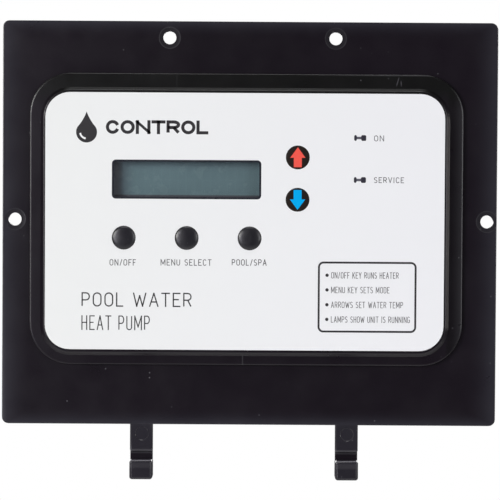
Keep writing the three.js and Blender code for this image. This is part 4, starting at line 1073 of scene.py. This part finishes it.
# ---------------------------------------------------------------- snap domes of sprung steel, built at rest; the real ones flatten under a pressed key
def snap_dome(name):
    dlo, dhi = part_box("dome_" + name)
    cx, cz, base, tall, big = (dlo.x + dhi.x) / 2, (dlo.z + dhi.z) / 2, dhi.y, dhi.y - dlo.y, (dhi.x - dlo.x) / 2
    bm = bmesh.new()
    N, shares = 48, (0.0, 0.08, 0.16, 0.24, 0.4, 0.55, 0.7, 0.82, 0.92, 1.0)

    def rise(k):
        dimple = 0.10 * max(0.0, 1 - (k / 0.2) ** 2) ** 2
        return tall * ((1 - k * k) ** 0.8 - dimple)

    def ring(k, skin):
        row = []
        for q in range(N):
            t = 2 * math.pi * q / N
            r = min(big, big * 0.90 / max(abs(math.cos(t)), abs(math.sin(t))))
            kr = k * r / big
            row.append(bm.verts.new((cx + kr * big * math.cos(t), base - max(rise(kr) - skin, 0.0), cz + kr * big * math.sin(t))))
        return row
    outer = [ring(k, 0.0) for k in shares[1:]]
    inner = [ring(k * 0.97, 0.00009) for k in shares[1:]]
    for rows in (outer, inner):
        for a_, b_ in zip(rows, rows[1:]):
            for q in range(N):
                bm.faces.new((a_[q], a_[(q + 1) % N], b_[(q + 1) % N], b_[q]))
        bm.faces.new(rows[0])
    for q in range(N):
        bm.faces.new((outer[-1][q], outer[-1][(q + 1) % N], inner[-1][(q + 1) % N], inner[-1][q]))
    bmesh.ops.recalc_face_normals(bm, faces=bm.faces)
    o = piece("snap_dome_" + name, bm, M["snap_dome"], smooth=True)
    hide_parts("dome_" + name)
    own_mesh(o)


for name in ("on_off", "menu_select", "pool_spa", "up", "down"):
    snap_dome(name)


# ---------------------------------------------------------------- floor, lights, camera
def floor_material():
    m = Mat("floor")
    c = m.mix(m.noise(3.0, 3.0), (0.80, 0.80, 0.80, 1), (0.84, 0.84, 0.84, 1))
    m.set(Base_Color=c, Roughness=m.remap(m.noise(30.0, 3.0), 0.3, 0.7, 0.7, 0.8))
    # it fades out toward its rim, so that no edge shows behind the object
    x, y = m.axis(0), m.math("SUBTRACT", m.axis(1), 0.1)
    r = m.math("SQRT", m.math("ADD", m.math("MULTIPLY", x, x), m.math("MULTIPLY", y, y)))
    clear = m.node("ShaderNodeBsdfTransparent")
    mixer = m.node("ShaderNodeMixShader")
    ramp = m.remap(r, 0.30, 0.97)
    m.put(mixer.inputs[0], m.math("POWER", ramp, 1.4))
    m.t.links.new(m.p.outputs[0], mixer.inputs[1])
    m.t.links.new(clear.outputs[0], mixer.inputs[2])
    m.t.links.new(mixer.outputs[0], m.out.inputs[0])
    return m.m


bm = bmesh.new()
rings = [[bm.verts.new((1.0 * k * math.cos(t), 0.1 + 1.0 * k * math.sin(t), -0.30)) for t in (2 * math.pi * q / 64 for q in range(64))] for k in (1.0, 0.5)]
for q in range(64):
    bm.faces.new((rings[0][q], rings[0][(q + 1) % 64], rings[1][(q + 1) % 64], rings[1][q]))
bm.faces.new(rings[1])
me = bpy.data.meshes.new("floor")
bm.to_mesh(me)
bm.free()
floor = bpy.data.objects.new("floor", me)
bpy.context.scene.collection.objects.link(floor)
me.materials.append(floor_material())
floor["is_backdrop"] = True


def area(name, place, target, size, watts, colour=(1, 1, 1), size_y=None):
    light = bpy.data.lights.new(name, "AREA")
    light.energy, light.color, light.size = watts, colour, size
    if size_y:
        light.shape, light.size_y = "RECTANGLE", size_y
    o = bpy.data.objects.new(name, light)
    bpy.context.scene.collection.objects.link(o)
    o.location = place
    o.rotation_mode = "QUATERNION"
    o.rotation_quaternion = (Vector(target) - Vector(place)).to_track_quat("-Z", "Y")
    o.visible_camera = False
    return o


AIM = (0.0, 0.0, 0.075)
area("key_left", (-1.75, -1.50, 0.58), AIM, 0.9, 36.6, (1.0, 0.990, 0.950))
area("fill_right", (1.70, -1.50, 0.32), AIM, 1.1, 15.2, (0.955, 0.965, 1.0))
area("rim_right", (1.50, -0.22, 0.10), AIM, 0.30, 2.0, (1.0, 0.95, 0.93))
area("top", (0.0, -0.55, 1.60), AIM, 0.8, 8.0)
area("sheen_left", (-0.66, -1.0, 0.14), AIM, 0.34, 3.4, (0.90, 0.89, 1.0), 0.8)
area("side_right", (1.5, 0.75, 0.35), AIM, 0.8, 9.0)
area("side_left", (-1.5, 0.75, 0.35), AIM, 0.8, 9.0)
area("back_left", (0.9, 1.2, 0.7), AIM, 0.9, 13.0)
area("back_right", (-0.9, 1.2, 0.35), AIM, 0.9, 9.0)
area("back_glow", (0.0, 1.7, 0.16), AIM, 1.4, 7.0, (1, 1, 1), 0.35)

world = bpy.data.worlds.new("studio")
bpy.context.scene.world = world
world.use_nodes = True
t = world.node_tree
t.nodes.clear()
out = t.nodes.new("ShaderNodeOutputWorld")
mixer = t.nodes.new("ShaderNodeMixShader")
dim, white = t.nodes.new("ShaderNodeBackground"), t.nodes.new("ShaderNodeBackground")
dim.inputs["Color"].default_value, dim.inputs["Strength"].default_value = (0.97, 0.95, 1.0, 1), 0.065
white.inputs["Color"].default_value, white.inputs["Strength"].default_value = (1, 1, 1, 1), 1.0
path = t.nodes.new("ShaderNodeLightPath")
t.links.new(path.outputs["Is Camera Ray"], mixer.inputs[0])
t.links.new(dim.outputs[0], mixer.inputs[1])
t.links.new(white.outputs[0], mixer.inputs[2])
t.links.new(mixer.outputs[0], out.inputs[0])

scene = bpy.context.scene
scene.view_settings.view_transform = "Standard"
scene.view_settings.look = "None"
scene.view_settings.exposure = 0.0
scene.view_settings.gamma = 1.0

cam = bpy.data.cameras.new("camera")
cam.lens, cam.sensor_width = 149.43, 36.0
cam.clip_start, cam.clip_end = 0.05, 20.0
camera = bpy.data.objects.new("camera", cam)
scene.collection.objects.link(camera)
scene.camera = camera


def turn(v):
    """Rotation matrix of a rotation vector in radians."""
    a = Vector(v)
    return Matrix.Rotation(a.length, 3, a.normalized())


BASE = Matrix(((1, 0, 0), (0, 0, 1), (0, -1, 0)))           # world to camera, looking along +Y
TO_CAMERA = turn([math.radians(d) for d in (1.529, 0.018, -0.352)]) @ BASE
camera.matrix_world = Matrix.Translation((-0.0001, -0.8982, 0.0867)) @ TO_CAMERA.transposed().to_4x4()

lo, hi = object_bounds()
